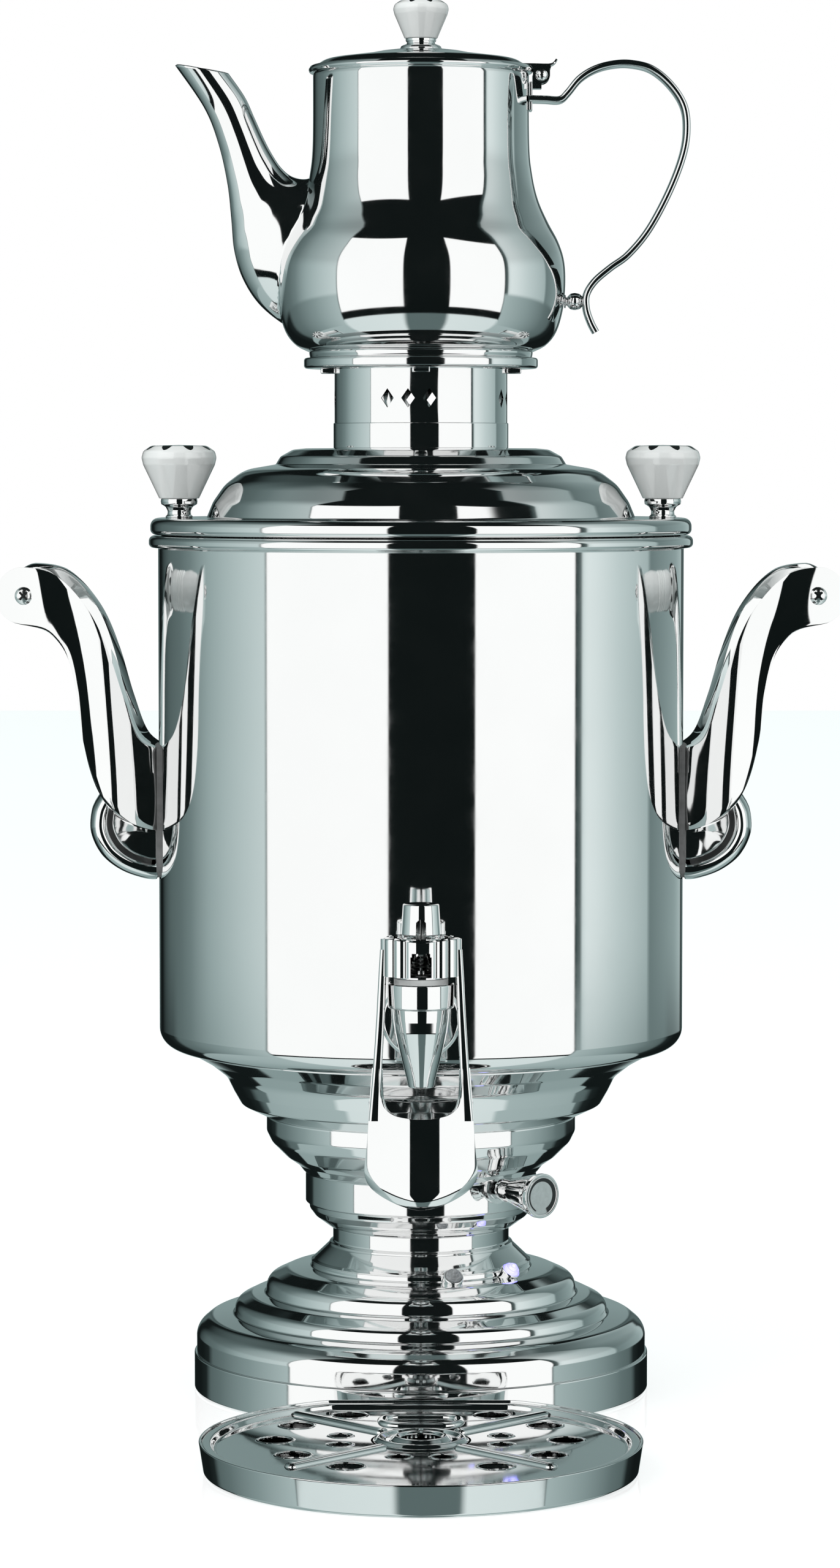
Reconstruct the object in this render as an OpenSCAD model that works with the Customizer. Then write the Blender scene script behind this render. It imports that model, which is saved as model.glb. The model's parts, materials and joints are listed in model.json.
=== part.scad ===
// Electric samovar: a ten-litre urn on a stepped base, with a lever tap, a lid with a
// steam crown, a teapot that stands on the crown, and a loose drip tray in front.
// Origin: middle of the base, on the surface it stands on. Front is -Y, +Z is up.

/* [Tank] */
// Outer diameter of the tank wall
tank_d = 240; // [220:1:260]
// Height of the tank from its outer floor to the top of its rim bead
tank_h = 234; // [210:1:270]
// Wall thickness of the tank
tank_wall = 1; // [0.8:0.1:1.5]
// Outer corner radius between the tank wall and floor
tank_corner_r = 9; // [6:0.5:12]
// Height of the bead rolled on the tank rim
rim_bead_h = 5.6; // [4:0.2:7]
// How far the rim bead stands out from the tank wall
rim_bead_out = 4.2; // [3:0.2:5]

/* [Base ring and feet] */
// How far the base ring stands out from the wall of the base shell
base_ring_proud = 1.1; // [0.3:0.1:3.6]
// Height of the top of the base ring above the surface
base_ring_h = 17.3; // [15:0.1:20]
// Gap between the base ring and the surface
base_ring_gap = 1; // [0.5:0.1:2]
// Wall thickness of the base ring
base_ring_wall = 1.6; // [1.2:0.1:2]
// Thickness of the sheet-steel floor plate
base_plate_t = 1.2; // [0.8:0.1:2]
// Diameter of a rubber foot
foot_d = 18; // [14:1:24]
// Height of a rubber foot
foot_h = 8; // [7:0.5:9]
// Diameter of the circle that the feet stand on
foot_circle_d = 150; // [110:1:160]
// Diameter of the screws that hold the floor plate and the feet
plate_screw_d = 4; // [3:0.5:5]

/* [Base shell] */
// Thickness of the spun sheet metal of base, waist, housing, skirt and lid
sheet = 0.8; // [0.6:0.1:1]
// Outer diameter of the base shell
shell_d = 206.8; // [204:0.2:208]
// Height of the upright wall of the base shell
shell_wall_h = 14.9; // [13:0.1:18]
// Radius of the edge at the top of the base shell's wall
shell_edge_r = 5; // [3:0.5:6]
// Rise from the wall to the lower bead
lower_cove_h = 3.3; // [2.5:0.1:5]
// Diameter of the lower bead
lower_bead_d = 169; // [160:1:176]
// Height of the lower bead
lower_bead_h = 5; // [4:0.1:7]
// Rise from the lower to the upper bead
upper_cove_h = 5.2; // [4:0.1:7]
// Diameter of the upper bead
upper_bead_d = 144; // [138:1:150]
// Height of the upper bead
upper_bead_h = 5.7; // [5:0.1:7]
// Diameter of the top of the shoulder above the upper bead
shoulder_d = 116; // [112:1:122]
// Height of the shoulder
shoulder_h = 5.6; // [4:0.1:7]
// Rise of the ledge between shoulder and waist
ledge_h = 2; // [1.2:0.1:3]

/* [Waist and control housing] */
// Diameter of the foot of the waist
waist_foot_d = 101; // [96:1:104]
// Diameter of the narrow neck of the waist
waist_d = 81; // [74:1:86]
// Height of the flared part of the waist
waist_flare_h = 9.5; // [8:0.5:12]
// Height of the neck of the waist
waist_neck_h = 6.5; // [5:0.5:12]
// Diameter of the control housing
housing_d = 106.2; // [104:0.2:110]
// Height of the control housing's rounded underside
housing_under_h = 11.5; // [10:0.5:14]
// Height of the control housing's upright wall
housing_wall_h = 14; // [12:0.5:20]
// Diameter of the cup above the housing
cup_d = 142; // [136:1:150]
// Height of the cup's rounded side
cup_side_h = 18.5; // [17:0.5:24]
// Height of the cup's upright rim
cup_rim_h = 8; // [6:0.5:12]

/* [Bowl skirt] */
// Diameter of the bead under the tank
bowl_d = 171; // [166:1:178]
// Height of the skirt between cup and tank floor
bowl_h = 31.5; // [30:0.5:36]
// Diameter at which the skirt meets the tank floor
bowl_top_d = 216; // [210:1:218]

/* [Heater] */
// Diameter of the aluminium heat spreader
spreader_d = 150; // [140:1:154]
// Thickness of the heat spreader
spreader_t = 5; // [4:0.5:7]
// Diameter of the ring that the heating tube is bent to
element_ring_d = 118; // [100:1:130]
// Diameter of the heating tube
element_tube_d = 8.6; // [6.5:0.1:9]
// How deep the heating tube is let into the spreader
element_sink = 1.6; // [1:0.1:2.5]
// Length of the heating tube's straight ends
element_pin_h = 14; // [10:1:18]
// Diameter of the centre tie rod
tie_rod_d = 8; // [6:0.5:10]
// Diameter of the dry-boil cut-out
cutout_d = 16; // [12:1:20]

/* [Mains inlet] */
// Width of the inlet housing
inlet_w = 27; // [26:0.5:32]
// Height of the inlet housing
inlet_h = 19.6; // [18:0.2:20]
// Length of the inlet housing
inlet_l = 26; // [22:1:30]
// Width that the inlet flange stands out past the housing
inlet_lip = 3; // [2:0.5:4]
// Length of the inlet's contact pins
inlet_pin_l = 12; // [8:1:14]

/* [Thermostat knob] */
// Direction of the thermostat knob, turned from the front
knob_az = 40; // [30:1:60]
// Height of the knob's axis above the bottom of the housing wall
knob_up = 11.5; // [8:0.5:12]
// Diameter of the knob's back end
knob_back_d = 11; // [9:0.5:13]
// Diameter of the knob's face
knob_face_d = 20; // [16:0.5:24]
// Length of the knob
knob_l = 27; // [20:1:30]
// Gap between housing and knob
knob_gap = 4.5; // [3.5:0.5:7]
// Diameter of the thermostat shaft
shaft_d = 6; // [4:0.5:6.5]

/* [Indicator lamps] */
// Direction of the heat lamp
heat_lamp_az = 15.7; // [5:0.1:20]
// Direction of the power lamp
power_lamp_az = 48.8; // [40:0.1:60]
// Diameter of a lamp bezel
bezel_d = 9.2; // [8:0.2:10]
// Diameter of a lamp lens
lens_d = 7.4; // [6:0.2:8]
// Height of a lens above its bezel
lens_h = 3.6; // [2.5:0.1:4.5]
// Upward tilt of the lamps
lamp_tilt = 52; // [40:1:60]

/* [Tap] */
// Height of the tap's shank above the tank floor
tap_up = 26; // [22:0.5:40]
// Distance of the tap's axis from the tank wall
tap_reach = 40; // [36:1:46]
// Diameter of the tap's threaded shank
shank_d = 16; // [14:1:18]
// Bore of the tap's inlet
inlet_bore_d = 9; // [7:0.5:10]
// Bore of the tap's outlet
outlet_bore_d = 8; // [6:0.5:8.4]
// Diameter of the tap's wall flange
tap_flange_d = 35; // [32:1:38]
// Diameter of the ring at the top of the tap barrel
tap_ring_d = 28.4; // [27:0.2:30]
// Diameter of the lower end of the tap barrel
nozzle_tip_d = 10.8; // [10.4:0.2:13]
// Drop of the nozzle's tip below the shank axis
nozzle_drop = 25; // [20:1:28]
// Diameter of the valve chamber
chamber_d = 14; // [13:0.5:15]
// Diameter of the silicone valve plug
plug_d = 11.6; // [10:0.2:12.4]

/* [Tap lever] */
// Outer diameter of the lever's fluted hood
hood_d = 35; // [34:0.5:38]
// Inner diameter of the hood
hood_bore_d = 26.4; // [26:0.2:28]
// Height of the hood
hood_h = 18.2; // [16:0.2:20]
// Width of the paddle at the lever's foot
paddle_w = 47.6; // [40:1:54]
// Thickness of the paddle
paddle_t = 4; // [3:0.5:5]
// Diameter of the lever's pivot pins
pivot_d = 3.2; // [2.5:0.1:4]

/* [Side handles] */
// Distance of a grip's axis from the middle of the samovar
grip_x = 178; // [174:1:184]
// Height of the grip's axis above the tank floor
grip_up = 207.5; // [200:0.5:214]
// Length of a ceramic grip
grip_l = 82; // [78:1:86]
// Thickness of a handle arm at the grip
arm_t = 6; // [5.5:0.5:7]
// Diameter of the round ends of the arms
arm_eye_d = 25.8; // [24:0.2:28]
// Half width of the handle at the tank
handle_half_w = 19; // [17:0.5:22]
// Height of a handle's pad above the tank floor
pad_up = 78; // [70:0.5:84]
// Length of a handle's pad up the tank wall
pad_h = 60.5; // [58:0.5:62]
// Thickness of the rubber pad under a handle
pad_t = 1.6; // [1:0.2:3]
// Diameter of the grip screws
grip_screw_d = 4; // [3:0.5:5]
// Head diameter of the grip screws
grip_head_d = 8.2; // [7:0.1:8.6]
// Diameter of the bolts between handle and tank
handle_bolt_d = 5; // [4:0.5:6]

/* [Lid] */
// How far the lid's rolled edge stands out from the tank wall
lid_edge_out = 3.5; // [2.6:0.1:4]
// Height of the lid's rolled edge
lid_edge_h = 7.9; // [6:0.1:9]
// Diameter of the foot of the dome
dome_d = 195; // [188:1:198]
// Height of the dome above the brim
dome_h = 24.3; // [20:0.1:30]
// Diameter of the step on top of the dome
dome_step_d = 131; // [126:1:136]
// Height of the step on top of the dome
dome_step_h = 7.3; // [5:0.1:9]
// Depth of the ring that holds the lid in the tank
lid_plug_h = 9; // [6:0.5:14]
// Gap between that ring and the tank wall
lid_plug_gap = 0.6; // [0.4:0.1:1]
// Place of a lid knob across the brim: 0 at the tank wall, 1 at the foot of the dome
lid_knob_place = 0.42; // [0.4:0.01:0.6]
// Diameter of a lid knob
lid_knob_d = 34.2; // [30:0.2:38]
// Height of a lid knob's ceramic part
lid_knob_h = 24.4; // [20:0.2:28]

/* [Steam crown] */
// Diameter of the lid's collar
collar_d = 79.8; // [77:0.2:84]
// Height of the lid's collar
collar_h = 11.5; // [9:0.5:16]
// Diameter of the crown's sleeve
crown_d = 78.8; // [76:0.2:79.8]
// Height of the crown's sleeve
crown_h = 25; // [22:0.5:30]
// Depth of the crown's spigot in the lid collar
spigot_h = 8; // [5:0.5:9]
// Gap between spigot and collar
spigot_gap = 0.3; // [0.2:0.05:0.5]
// Width of a diamond-shaped steam hole
diamond_w = 6.2; // [4:0.2:8]
// Height of a diamond-shaped steam hole
diamond_h = 8.7; // [6:0.1:12]
// Diameter of the teapot stand
stand_d = 106.6; // [105:0.2:112]
// Height of the rolled edge of the teapot stand
stand_roll_h = 3.5; // [3:0.1:4.5]
// Steam opening of the teapot stand
stand_hole_d = 70; // [56:1:72]

/* [Teapot] */
// Diameter of the teapot's foot
pot_foot_d = 101; // [96:1:102]
// Largest diameter of the teapot
pot_d = 131.6; // [126:0.2:140]
// Diameter of the teapot's neck
pot_neck_d = 98; // [94:1:104]
// Height of the teapot up to its rim
pot_h = 129; // [124:1:140]
// Wall thickness of the teapot
pot_wall = 0.8; // [0.6:0.1:1]
// Diameter of the strainer holes behind the spout
strainer_d = 3.2; // [2:0.2:4]
// Largest width of the spout
spout_w = 34; // [28:1:38]
// Width of the teapot handle's strap
strap_w = 16; // [10:0.5:18]
// Thickness of the teapot handle's strap
strap_t = 2.8; // [2:0.1:3.4]
// Diameter of the teapot lid
pot_lid_d = 102.4; // [100:0.2:108]
// Rise of the teapot lid
pot_lid_h = 9.4; // [7:0.2:12]
// Diameter of the teapot lid's knob
pot_knob_d = 25.2; // [20:0.2:30]
// Height of the teapot lid's knob
pot_knob_h = 17.4; // [14:0.2:22]
// Diameter of the teapot's hinge pin
hinge_pin_d = 2.4; // [2:0.1:3]
// Outer diameter of the teapot's hinge barrel
hinge_barrel_d = 5.2; // [4.6:0.1:6]
// Width of the hinge barrel
hinge_barrel_w = 7; // [5:0.5:9]

/* [Drip tray] */
// Diameter of the round front of the tray
tray_d = 188; // [176:1:200]
// Gap between the tray's straight back and the base ring
tray_gap = 1.6; // [1:0.1:4]
// Distance from the straight back to the middle of the round front
tray_back = 84.5; // [76:0.5:87]
// Height of the tray
tray_h = 14; // [12:0.5:20]
// Thickness of the tray's sheet
tray_t = 1; // [0.8:0.1:1.5]
// Drop of the grid's plate below its flange
grid_drop = 2.8; // [2:0.1:4]
// Width of the grid's flange
grid_flange_w = 7; // [5:0.5:9]
// Diameter of the large drain holes
drain_d = 14.4; // [10:0.2:15]
// Diameter of the circle of large drain holes
drain_circle_d = 124; // [116:1:126]
// Diameter of the small drain holes
small_drain_d = 9.6; // [6:0.2:10]
// Diameter of the circle of small drain holes
small_circle_d = 71; // [66:1:76]
// Diameter of the hole in the middle of the grid
hub_hole_d = 17; // [12:0.5:24]

/* [Hidden] */

$fn = 96;
arc_step = 18;      // degrees of arc for each straight piece of a fillet
eps = 0.01;         // overrun of a cutting tool through a face
through = 60;       // half length of a tool that cuts right through
fit = 0.05;         // radial clearance of pins and shafts that turn
slack = 0.3;        // clearance of loose parts
flat_touch = 0.2;   // gap under parts that lift off curved ground

// Heights of the stack, from the surface up.
z_plate = foot_h;
z_flange = z_plate + base_plate_t;
z_seam = base_ring_h;
z_wall = z_seam + shell_wall_h;
z_lower = z_wall + lower_cove_h;
z_lower_top = z_lower + lower_bead_h;
z_upper = z_lower_top + upper_cove_h;
z_upper_top = z_upper + upper_bead_h;
z_shoulder = z_upper_top + shoulder_h;
z_waist = z_shoulder + ledge_h;
z_neck = z_waist + waist_flare_h;
z_housing = z_neck + waist_neck_h;
z_band = z_housing + housing_under_h;
z_band_top = z_band + housing_wall_h;
z_cup = z_band_top + cup_side_h;
z_bowl = z_cup + cup_rim_h;
z_floor = z_bowl + bowl_h;
z_rim = z_floor + tank_h;
z_brim = z_rim + lid_edge_h;
z_dome = z_brim + dome_h;
z_collar = z_dome + dome_step_h;
z_crown = z_collar + collar_h;
z_stand = z_crown + crown_h;
z_roll_top = z_stand + stand_roll_h;
stand_plate_t = 1.5;
stand_recess = 0.8;
z_pot = z_roll_top + stand_plate_t - stand_recess;
z_pot_rim = z_pot + pot_h;

// Radii.
tank_r = tank_d / 2;
tank_in_r = tank_r - tank_wall;
shell_r = shell_d / 2;
ring_r = shell_r + base_ring_proud;
ring_in_r = ring_r - base_ring_wall;
housing_r = housing_d / 2;
crown_r = crown_d / 2;
pot_neck_r = pot_neck_d / 2;
dome_r = dome_d / 2;
brim_w = tank_r - dome_r;
lid_knob_x = tank_r - lid_knob_place * brim_w;

// ---------- outlines ----------

function unit(v) = v / norm(v);
function flip(list) = [for (i = [len(list) - 1:-1:0]) list[i]];

// One corner b of an outline between a and c, rounded to radius r where the sides allow it.
function corner(a, b, c, r) =
    let (u = unit(a - b), w = unit(c - b), half = acos(max(-1, min(1, u * w))) / 2)
    r <= 0 || half > 89 ? [b] :
    let (
        t = min(r / tan(half), 0.49 * min(norm(a - b), norm(c - b))),
        rr = t * tan(half),
        m = b + unit(u + w) * rr / sin(half),
        p = b + u * t - m,
        q = b + w * t - m,
        from = atan2(p.y, p.x),
        sweep = (atan2(q.y, q.x) - from + 540) % 360 - 180,
        n = max(2, ceil(abs(sweep) / arc_step))
    )
    [for (i = [0:n]) m + rr * [cos(from + sweep * i / n), sin(from + sweep * i / n)]];

function xy(p) = [p.x, p.y];
function fillet_of(p) = len(p) > 2 ? p[2] : 0;

// Closed outline from corners [x, y, fillet radius].
function rounded(p) = [
    for (i = [0:len(p) - 1])
        each corner(xy(p[(i + len(p) - 1) % len(p)]), xy(p[i]), xy(p[(i + 1) % len(p)]), fillet_of(p[i]))
];

// Open line from corners [x, y, fillet radius]; its two ends stay sharp.
function rounded_line(p) = [
    xy(p[0]),
    for (i = [1:len(p) - 2]) each corner(xy(p[i - 1]), xy(p[i]), xy(p[i + 1]), fillet_of(p[i])),
    xy(p[len(p) - 1])
];

function side_normal(a, b) = let (d = unit(b - a)) [-d.y, d.x];

// The same line moved sideways to its left by d.
function moved_left(p, d) =
    let (n = [for (i = [0:len(p) - 2]) side_normal(p[i], p[i + 1])], last = len(n) - 1)
    [for (i = [0:len(p) - 1])
        let (a = n[max(0, i - 1)], b = n[min(last, i)])
        p[i] + d * (a + b) / (1 + a * b)];

// Sheet of thickness t on the left of a line, as an outline.
function sheet_outline(p, t) = concat(p, flip(moved_left(p, t)));

module spun_sheet(p, t) { rotate_extrude() polygon(sheet_outline(rounded_line(p), t)); }
module turned(p) { rotate_extrude() polygon(rounded(p)); }
module disc(r, z0, z1) { translate([0, 0, z0]) cylinder(r = r, h = z1 - z0); }
module ring(r_out, r_in, z0, z1) {
    translate([0, 0, z0]) difference() {
        cylinder(r = r_out, h = z1 - z0);
        translate([0, 0, -eps]) cylinder(r = r_in, h = z1 - z0 + 2 * eps);
    }
}

// Turns local +Z to point outwards at direction az and height z; local +Y is up.
module outward(az, z, rho = 0) {
    rotate([0, 0, az]) translate([0, -rho, z]) rotate([90, 0, 0]) children();
}
// Copies children to both sides, the second one mirrored.
module both_sides() { children(); mirror([1, 0, 0]) children(); }
module around(n, turn = 0) { for (i = [0:n - 1]) rotate([0, 0, turn + i * 360 / n]) children(); }

// ---------- lofts ----------

// Point of a smooth curve through points p at parameter s, from 0 to len(p) - 1.
function curve_at(p, s) =
    let (
        last = len(p) - 1,
        i = min(floor(s), last - 1),
        t = s - i,
        a = p[max(0, i - 1)], b = p[i], c = p[i + 1], d = p[min(last, i + 2)]
    )
    0.5 * (2 * b + (c - a) * t + (2 * a - 5 * b + 4 * c - d) * t * t
        + (3 * b - a - 3 * c + d) * t * t * t);
function curve(p, n) = [for (i = [0:n]) curve_at(p, i * (len(p) - 1) / n)];
function middle(list) = [for (v = list) 1] * list / len(list);

function strip(a, b, m, out) = [
    for (j = [0:m - 1]) let (k = (j + 1) % m)
        each out ? [[a + j, a + k, b + k], [a + j, b + k, b + j]]
                 : [[a + j, b + k, a + k], [a + j, b + j, b + k]]
];

// Solid skin over a list of rings with the same number of points.
module loft(rings) {
    m = len(rings[0]);
    n = len(rings);
    last = (n - 1) * m;
    points = concat([for (r = rings) each r], [middle(rings[0]), middle(rings[n - 1])]);
    polyhedron(points, concat(
        [for (i = [0:n - 2]) each strip(i * m, (i + 1) * m, m, true)],
        [for (j = [0:m - 1]) [n * m, (j + 1) % m, j]],
        [for (j = [0:m - 1]) [n * m + 1, last + j, last + (j + 1) % m]]
    ));
}

// Open tube between outer and inner rings.
module hollow_loft(outer, inner) {
    m = len(outer[0]);
    n = len(outer);
    polyhedron(concat([for (r = outer) each r], [for (r = inner) each r]), concat(
        [for (i = [0:n - 2]) each strip(i * m, (i + 1) * m, m, true)],
        [for (i = [0:n - 2]) each strip((n + i) * m, (n + i + 1) * m, m, false)],
        strip(0, n * m, m, false),
        strip((n - 1) * m, (2 * n - 1) * m, m, true)
    ));
}

// Ring of a section between two points of the XZ plane, with half width w along Y about y.
// roundness 1 is an ellipse; lower values square the section off.
section_sides = 16;
function power(v, e) = sign(v) * pow(abs(v), e);
function section(a, b, y, w, roundness = 1) =
    let (m = (a + b) / 2, h = (a - b) / 2)
    [for (i = [0:section_sides - 1])
        let (t = i * 360 / section_sides, c = power(cos(t), roundness), s = power(sin(t), roundness))
        [m.x + h.x * c, y + w * s, m.y + h.y * c]];

// ---------- base ----------

inlet_z = z_flange + base_plate_t;
inlet_y = ring_r + 0.2;
service_slot_w = 3;
service_slot_h = 7;
service_slot_az = 43.5;
ring_flange_w = 8;
ring_lip_h = 5;
lip_gap = 0.1;

module inlet_opening() {
    translate([-inlet_w / 2, shell_r - 30, inlet_z]) cube([inlet_w, 40, inlet_h]);
}

module base_ring() {
    lip_r = shell_r - sheet - lip_gap;
    color("silver") difference() {
        turned([
            [ring_r, base_ring_gap, 0.6], [ring_r, z_seam, 0.6], [shell_r - sheet - 0.1, z_seam],
            [lip_r, z_seam + ring_lip_h], [lip_r - 1, z_seam + ring_lip_h],
            [lip_r - 1, z_seam - 1.2], [ring_in_r, z_seam - 1.2], [ring_in_r, z_flange + base_plate_t],
            [ring_in_r - ring_flange_w, z_flange + base_plate_t], [ring_in_r - ring_flange_w, z_flange],
            [ring_in_r, z_flange], [ring_in_r, base_ring_gap]
        ]);
        inlet_opening();
        around(4, 45) translate([ring_in_r - ring_flange_w / 2, 0, 0])
            cylinder(d = plate_screw_d, h = z_seam);
    }
}

vent_w = 2.4;
vent_l = 26;
module base_plate() {
    color("gainsboro") difference() {
        disc(ring_in_r - fit, z_plate, z_flange);
        translate([0, 0, z_plate - 1]) cylinder(d = tie_rod_d, h = base_plate_t + 2);
        around(4, 45) translate([ring_in_r - ring_flange_w / 2, 0, z_plate - 1])
            cylinder(d = plate_screw_d, h = base_plate_t + 2);
        around(4, 45) translate([foot_circle_d / 2, 0, z_plate - 1])
            cylinder(d = plate_screw_d, h = base_plate_t + 2);
        for (i = [-2:2]) translate([i * 3 * vent_w - vent_w / 2, -vent_l - 22, z_plate - 1])
            cube([vent_w, vent_l, base_plate_t + 2]);
    }
}

// A plug on each foot is pressed through the plate.
module rubber_feet() {
    color("dimgray") around(4, 45) translate([foot_circle_d / 2, 0, 0]) {
        turned([[0, 0], [foot_d / 2 - 1, 0, 1], [foot_d / 2, foot_h], [0, foot_h]]);
        cylinder(d = plate_screw_d, h = z_flange);
        disc(plate_screw_d / 2 + 1, z_flange, z_flange + 1.5);
    }
    // The middle foot is a cup over the end of the tie rod and its nut.
    color("dimgray") difference() {
        turned([[0, 0], [foot_d / 2 + 1, 0, 1], [foot_d / 2 + 2, foot_h], [0, foot_h]]);
        disc(tie_rod_d / 2, rod_low, foot_h + 1);
        translate([0, 0, z_plate - nut_h]) cylinder(d = nut_across / cos(30), h = nut_h + 1, $fn = 6);
    }
}

screw_head_h = 2.4;
module plate_screws() {
    color("silver") around(4, 45) translate([ring_in_r - ring_flange_w / 2, 0, 0]) {
        disc(plate_screw_d / 2, z_plate, z_flange + base_plate_t + 1.5);
        difference() {
            disc(plate_screw_d * 0.9, z_plate - screw_head_h, z_plate);
            for (turn = [0, 90]) rotate([0, 0, turn])
                translate([-0.4, -plate_screw_d / 2, z_plate - screw_head_h - eps])
                    cube([0.8, plate_screw_d, 1.2]);
        }
    }
}

waist_foot_r = waist_foot_d / 2;
lamp_rho = waist_foot_r + 3;
lamp_z = z_waist - 0.6;
module at_lamp(az) {
    rotate([0, 0, az]) translate([0, -lamp_rho, lamp_z]) rotate([90 - lamp_tilt, 0, 0]) children();
}

flange_in = 6;
module base_shell() {
    lower_r = lower_bead_d / 2;
    upper_r = upper_bead_d / 2;
    color("silver") difference() {
        spun_sheet([
            [shell_r, z_seam], [shell_r, z_wall, shell_edge_r],
            [lower_r + 1.2, z_lower, 1.6], [lower_r + 0.6, z_lower + lower_bead_h / 2, 2],
            [lower_r - 0.8, z_lower_top, 1.4], [upper_r + 1.4, z_upper, 1.6],
            [upper_r + 0.6, z_upper + upper_bead_h / 2, 2.4], [upper_r - 2, z_upper_top, 2],
            [upper_r - 4.5, z_upper_top + 1.4, 1.4], [shoulder_d / 2, z_shoulder, 1.5],
            [waist_foot_r, z_waist, 1], [waist_foot_r - flange_in, z_waist]
        ], sheet);
        inlet_opening();
        outward(service_slot_az, z_seam, shell_r - 10) translate([0, service_slot_h / 2 - 1, 0])
            linear_extrude(20) square([service_slot_w, service_slot_h + 2], center = true);
        for (az = [heat_lamp_az, power_lamp_az]) at_lamp(az)
            translate([0, 0, -12]) cylinder(d = bezel_d, h = 20);
    }
}

module waist_collar() {
    color("silver") difference() {
        spun_sheet([
            [waist_foot_r, z_waist], [waist_foot_r, z_waist + 0.8], [waist_foot_r - 1, z_waist + 2.4, 1.2],
            [waist_d / 2 + 3.1, z_neck - 2.7, 1.5], [waist_d / 2 + 2.4, z_neck - 1.3, 0.9],
            [waist_d / 2, z_neck, 1], [waist_d / 2, z_housing]
        ], sheet);
        for (az = [heat_lamp_az, power_lamp_az]) at_lamp(az)
            translate([0, 0, -12]) cylinder(d = bezel_d, h = 20);
    }
}

knob_z = z_band + knob_up;
bush_d = 10;
function housing_line() = let (cup_r = cup_d / 2) [
    [waist_d / 2 - flange_in, z_housing], [waist_d / 2 + 1.5, z_housing + 0.3, 1.2],
    [housing_r - 4.3, z_housing + 0.46 * housing_under_h, 3],
    [housing_r - 1.9, z_housing + 0.75 * housing_under_h, 2],
    [housing_r - 1.5, z_band - 0.3, 0.5], [housing_r, z_band + 0.2, 0.6],
    [housing_r, z_band_top, 1], [housing_r + 1.3, z_band_top + 0.8, 0.8],
    [housing_r + 3.4, z_band_top + 3.6, 1], [cup_r - 9, z_band_top + 0.4 * cup_side_h, 4],
    [cup_r - 2.3, z_band_top + 0.76 * cup_side_h, 5], [cup_r, z_cup + 0.4, 3],
    [cup_r, z_bowl, 0.9], [cup_r - 10, z_bowl]
];
module control_housing() {
    color("silver") difference() {
        spun_sheet(housing_line(), sheet);
        outward(knob_az, knob_z, 30) cylinder(d = bush_d, h = 50);
    }
}
// The room inside the housing's outer surface, used to trim what sits on it.
module housing_solid() {
    rotate_extrude() polygon(concat([[0, z_housing]], rounded_line(housing_line()), [[0, z_bowl]]));
}

module bowl_skirt() {
    bowl_r = bowl_d / 2;
    color("silver") spun_sheet([
        [cup_d / 2 - 10, z_bowl], [cup_d / 2 + 0.6, z_bowl, 1.2],
        [bowl_r - 2.8, z_bowl + 0.17 * bowl_h, 2.6], [bowl_r + 0.6, z_bowl + 0.36 * bowl_h, 3],
        [bowl_r + 4, z_bowl + 0.58 * bowl_h, 7], [bowl_r + 12, z_bowl + 0.78 * bowl_h, 9],
        [bowl_top_d / 2, z_floor - 1.2], [bowl_top_d / 2, z_floor]
    ], sheet);
}

// ---------- tank and heater ----------

tap_z = z_floor + tap_up;
grip_z = z_floor + grip_up;
pad_low = z_floor + pad_up;
pad_high = pad_low + pad_h;
bolt_inset = 14;             // distance of the handle bolts from the pad's ends
bolt_heights = [pad_low + bolt_inset, pad_high - bolt_inset];

module tank_shell() {
    bead_r = tank_r + rim_bead_out;
    color("silver") difference() {
        union() {
            rotate_extrude() polygon(sheet_outline(rounded_line(
                [[0, z_floor], [tank_r, z_floor, tank_corner_r], [tank_r, z_rim]]), tank_wall));
            turned([
                [tank_in_r, z_rim - rim_bead_h], [bead_r, z_rim - rim_bead_h, 2.4],
                [bead_r, z_rim, 2.4], [tank_in_r, z_rim]
            ]);
        }
        outward(0, tap_z, tank_r - 15) cylinder(d = shank_d, h = 30);
        for (side = [-90, 90], z = bolt_heights)
            outward(side, z, tank_r - 10) cylinder(d = handle_bolt_d, h = 20);
    }
}

spreader_z = z_floor - spreader_t;
element_z = spreader_z - element_tube_d / 2 + element_sink;
element_gap = 40;   // degrees left open between the ends of the heating tube
element_side = -90 + element_gap / 2;

module heating_tube() {
    rotate([0, 0, element_side]) translate([0, 0, element_z]) rotate_extrude(angle = 360 - element_gap)
        translate([element_ring_d / 2, 0]) circle(d = element_tube_d, $fn = 32);
}

module heat_spreader() {
    color("lightgray") difference() {
        disc(spreader_d / 2, spreader_z, z_floor);
        translate([0, 0, spreader_z - 1]) cylinder(d = tie_rod_d, h = spreader_t + 2);
        translate([0, 0, element_z]) rotate_extrude() translate([element_ring_d / 2, 0])
            circle(d = element_tube_d, $fn = 32);
    }
}

module heating_element() {
    color("darkgray") {
        heating_tube();
        for (turn = [element_side, element_side - element_gap]) rotate([0, 0, turn])
            translate([element_ring_d / 2, 0, element_z - element_pin_h])
                cylinder(d = element_tube_d * 0.7, h = element_pin_h);
    }
}

cutout_h = 8;
cutout_y = 32;
module dry_boil_cutout() {
    color("white") translate([0, cutout_y, 0]) {
        disc(cutout_d / 2, spreader_z - cutout_h, spreader_z);
        for (x = [-cutout_d / 4, cutout_d / 4]) translate([x - 0.4, -3, spreader_z - cutout_h - 7])
            cube([0.8, 6, 7]);
    }
}

rod_low = foot_h / 4;
module tie_rod() { color("gray") disc(tie_rod_d / 2, rod_low, z_floor); }

nut_h = 5;
nut_across = 1.6 * tie_rod_d;
module hex_nut(across, bore, h) {
    difference() {
        cylinder(d = across / cos(30), h = h, $fn = 6);
        translate([0, 0, -eps]) cylinder(d = bore, h = h + 2 * eps);
    }
}
module tie_nuts() {
    color("silver") for (z = [z_plate - nut_h, z_flange, spreader_z - nut_h])
        translate([0, 0, z]) hex_nut(nut_across, tie_rod_d, nut_h);
}

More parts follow.
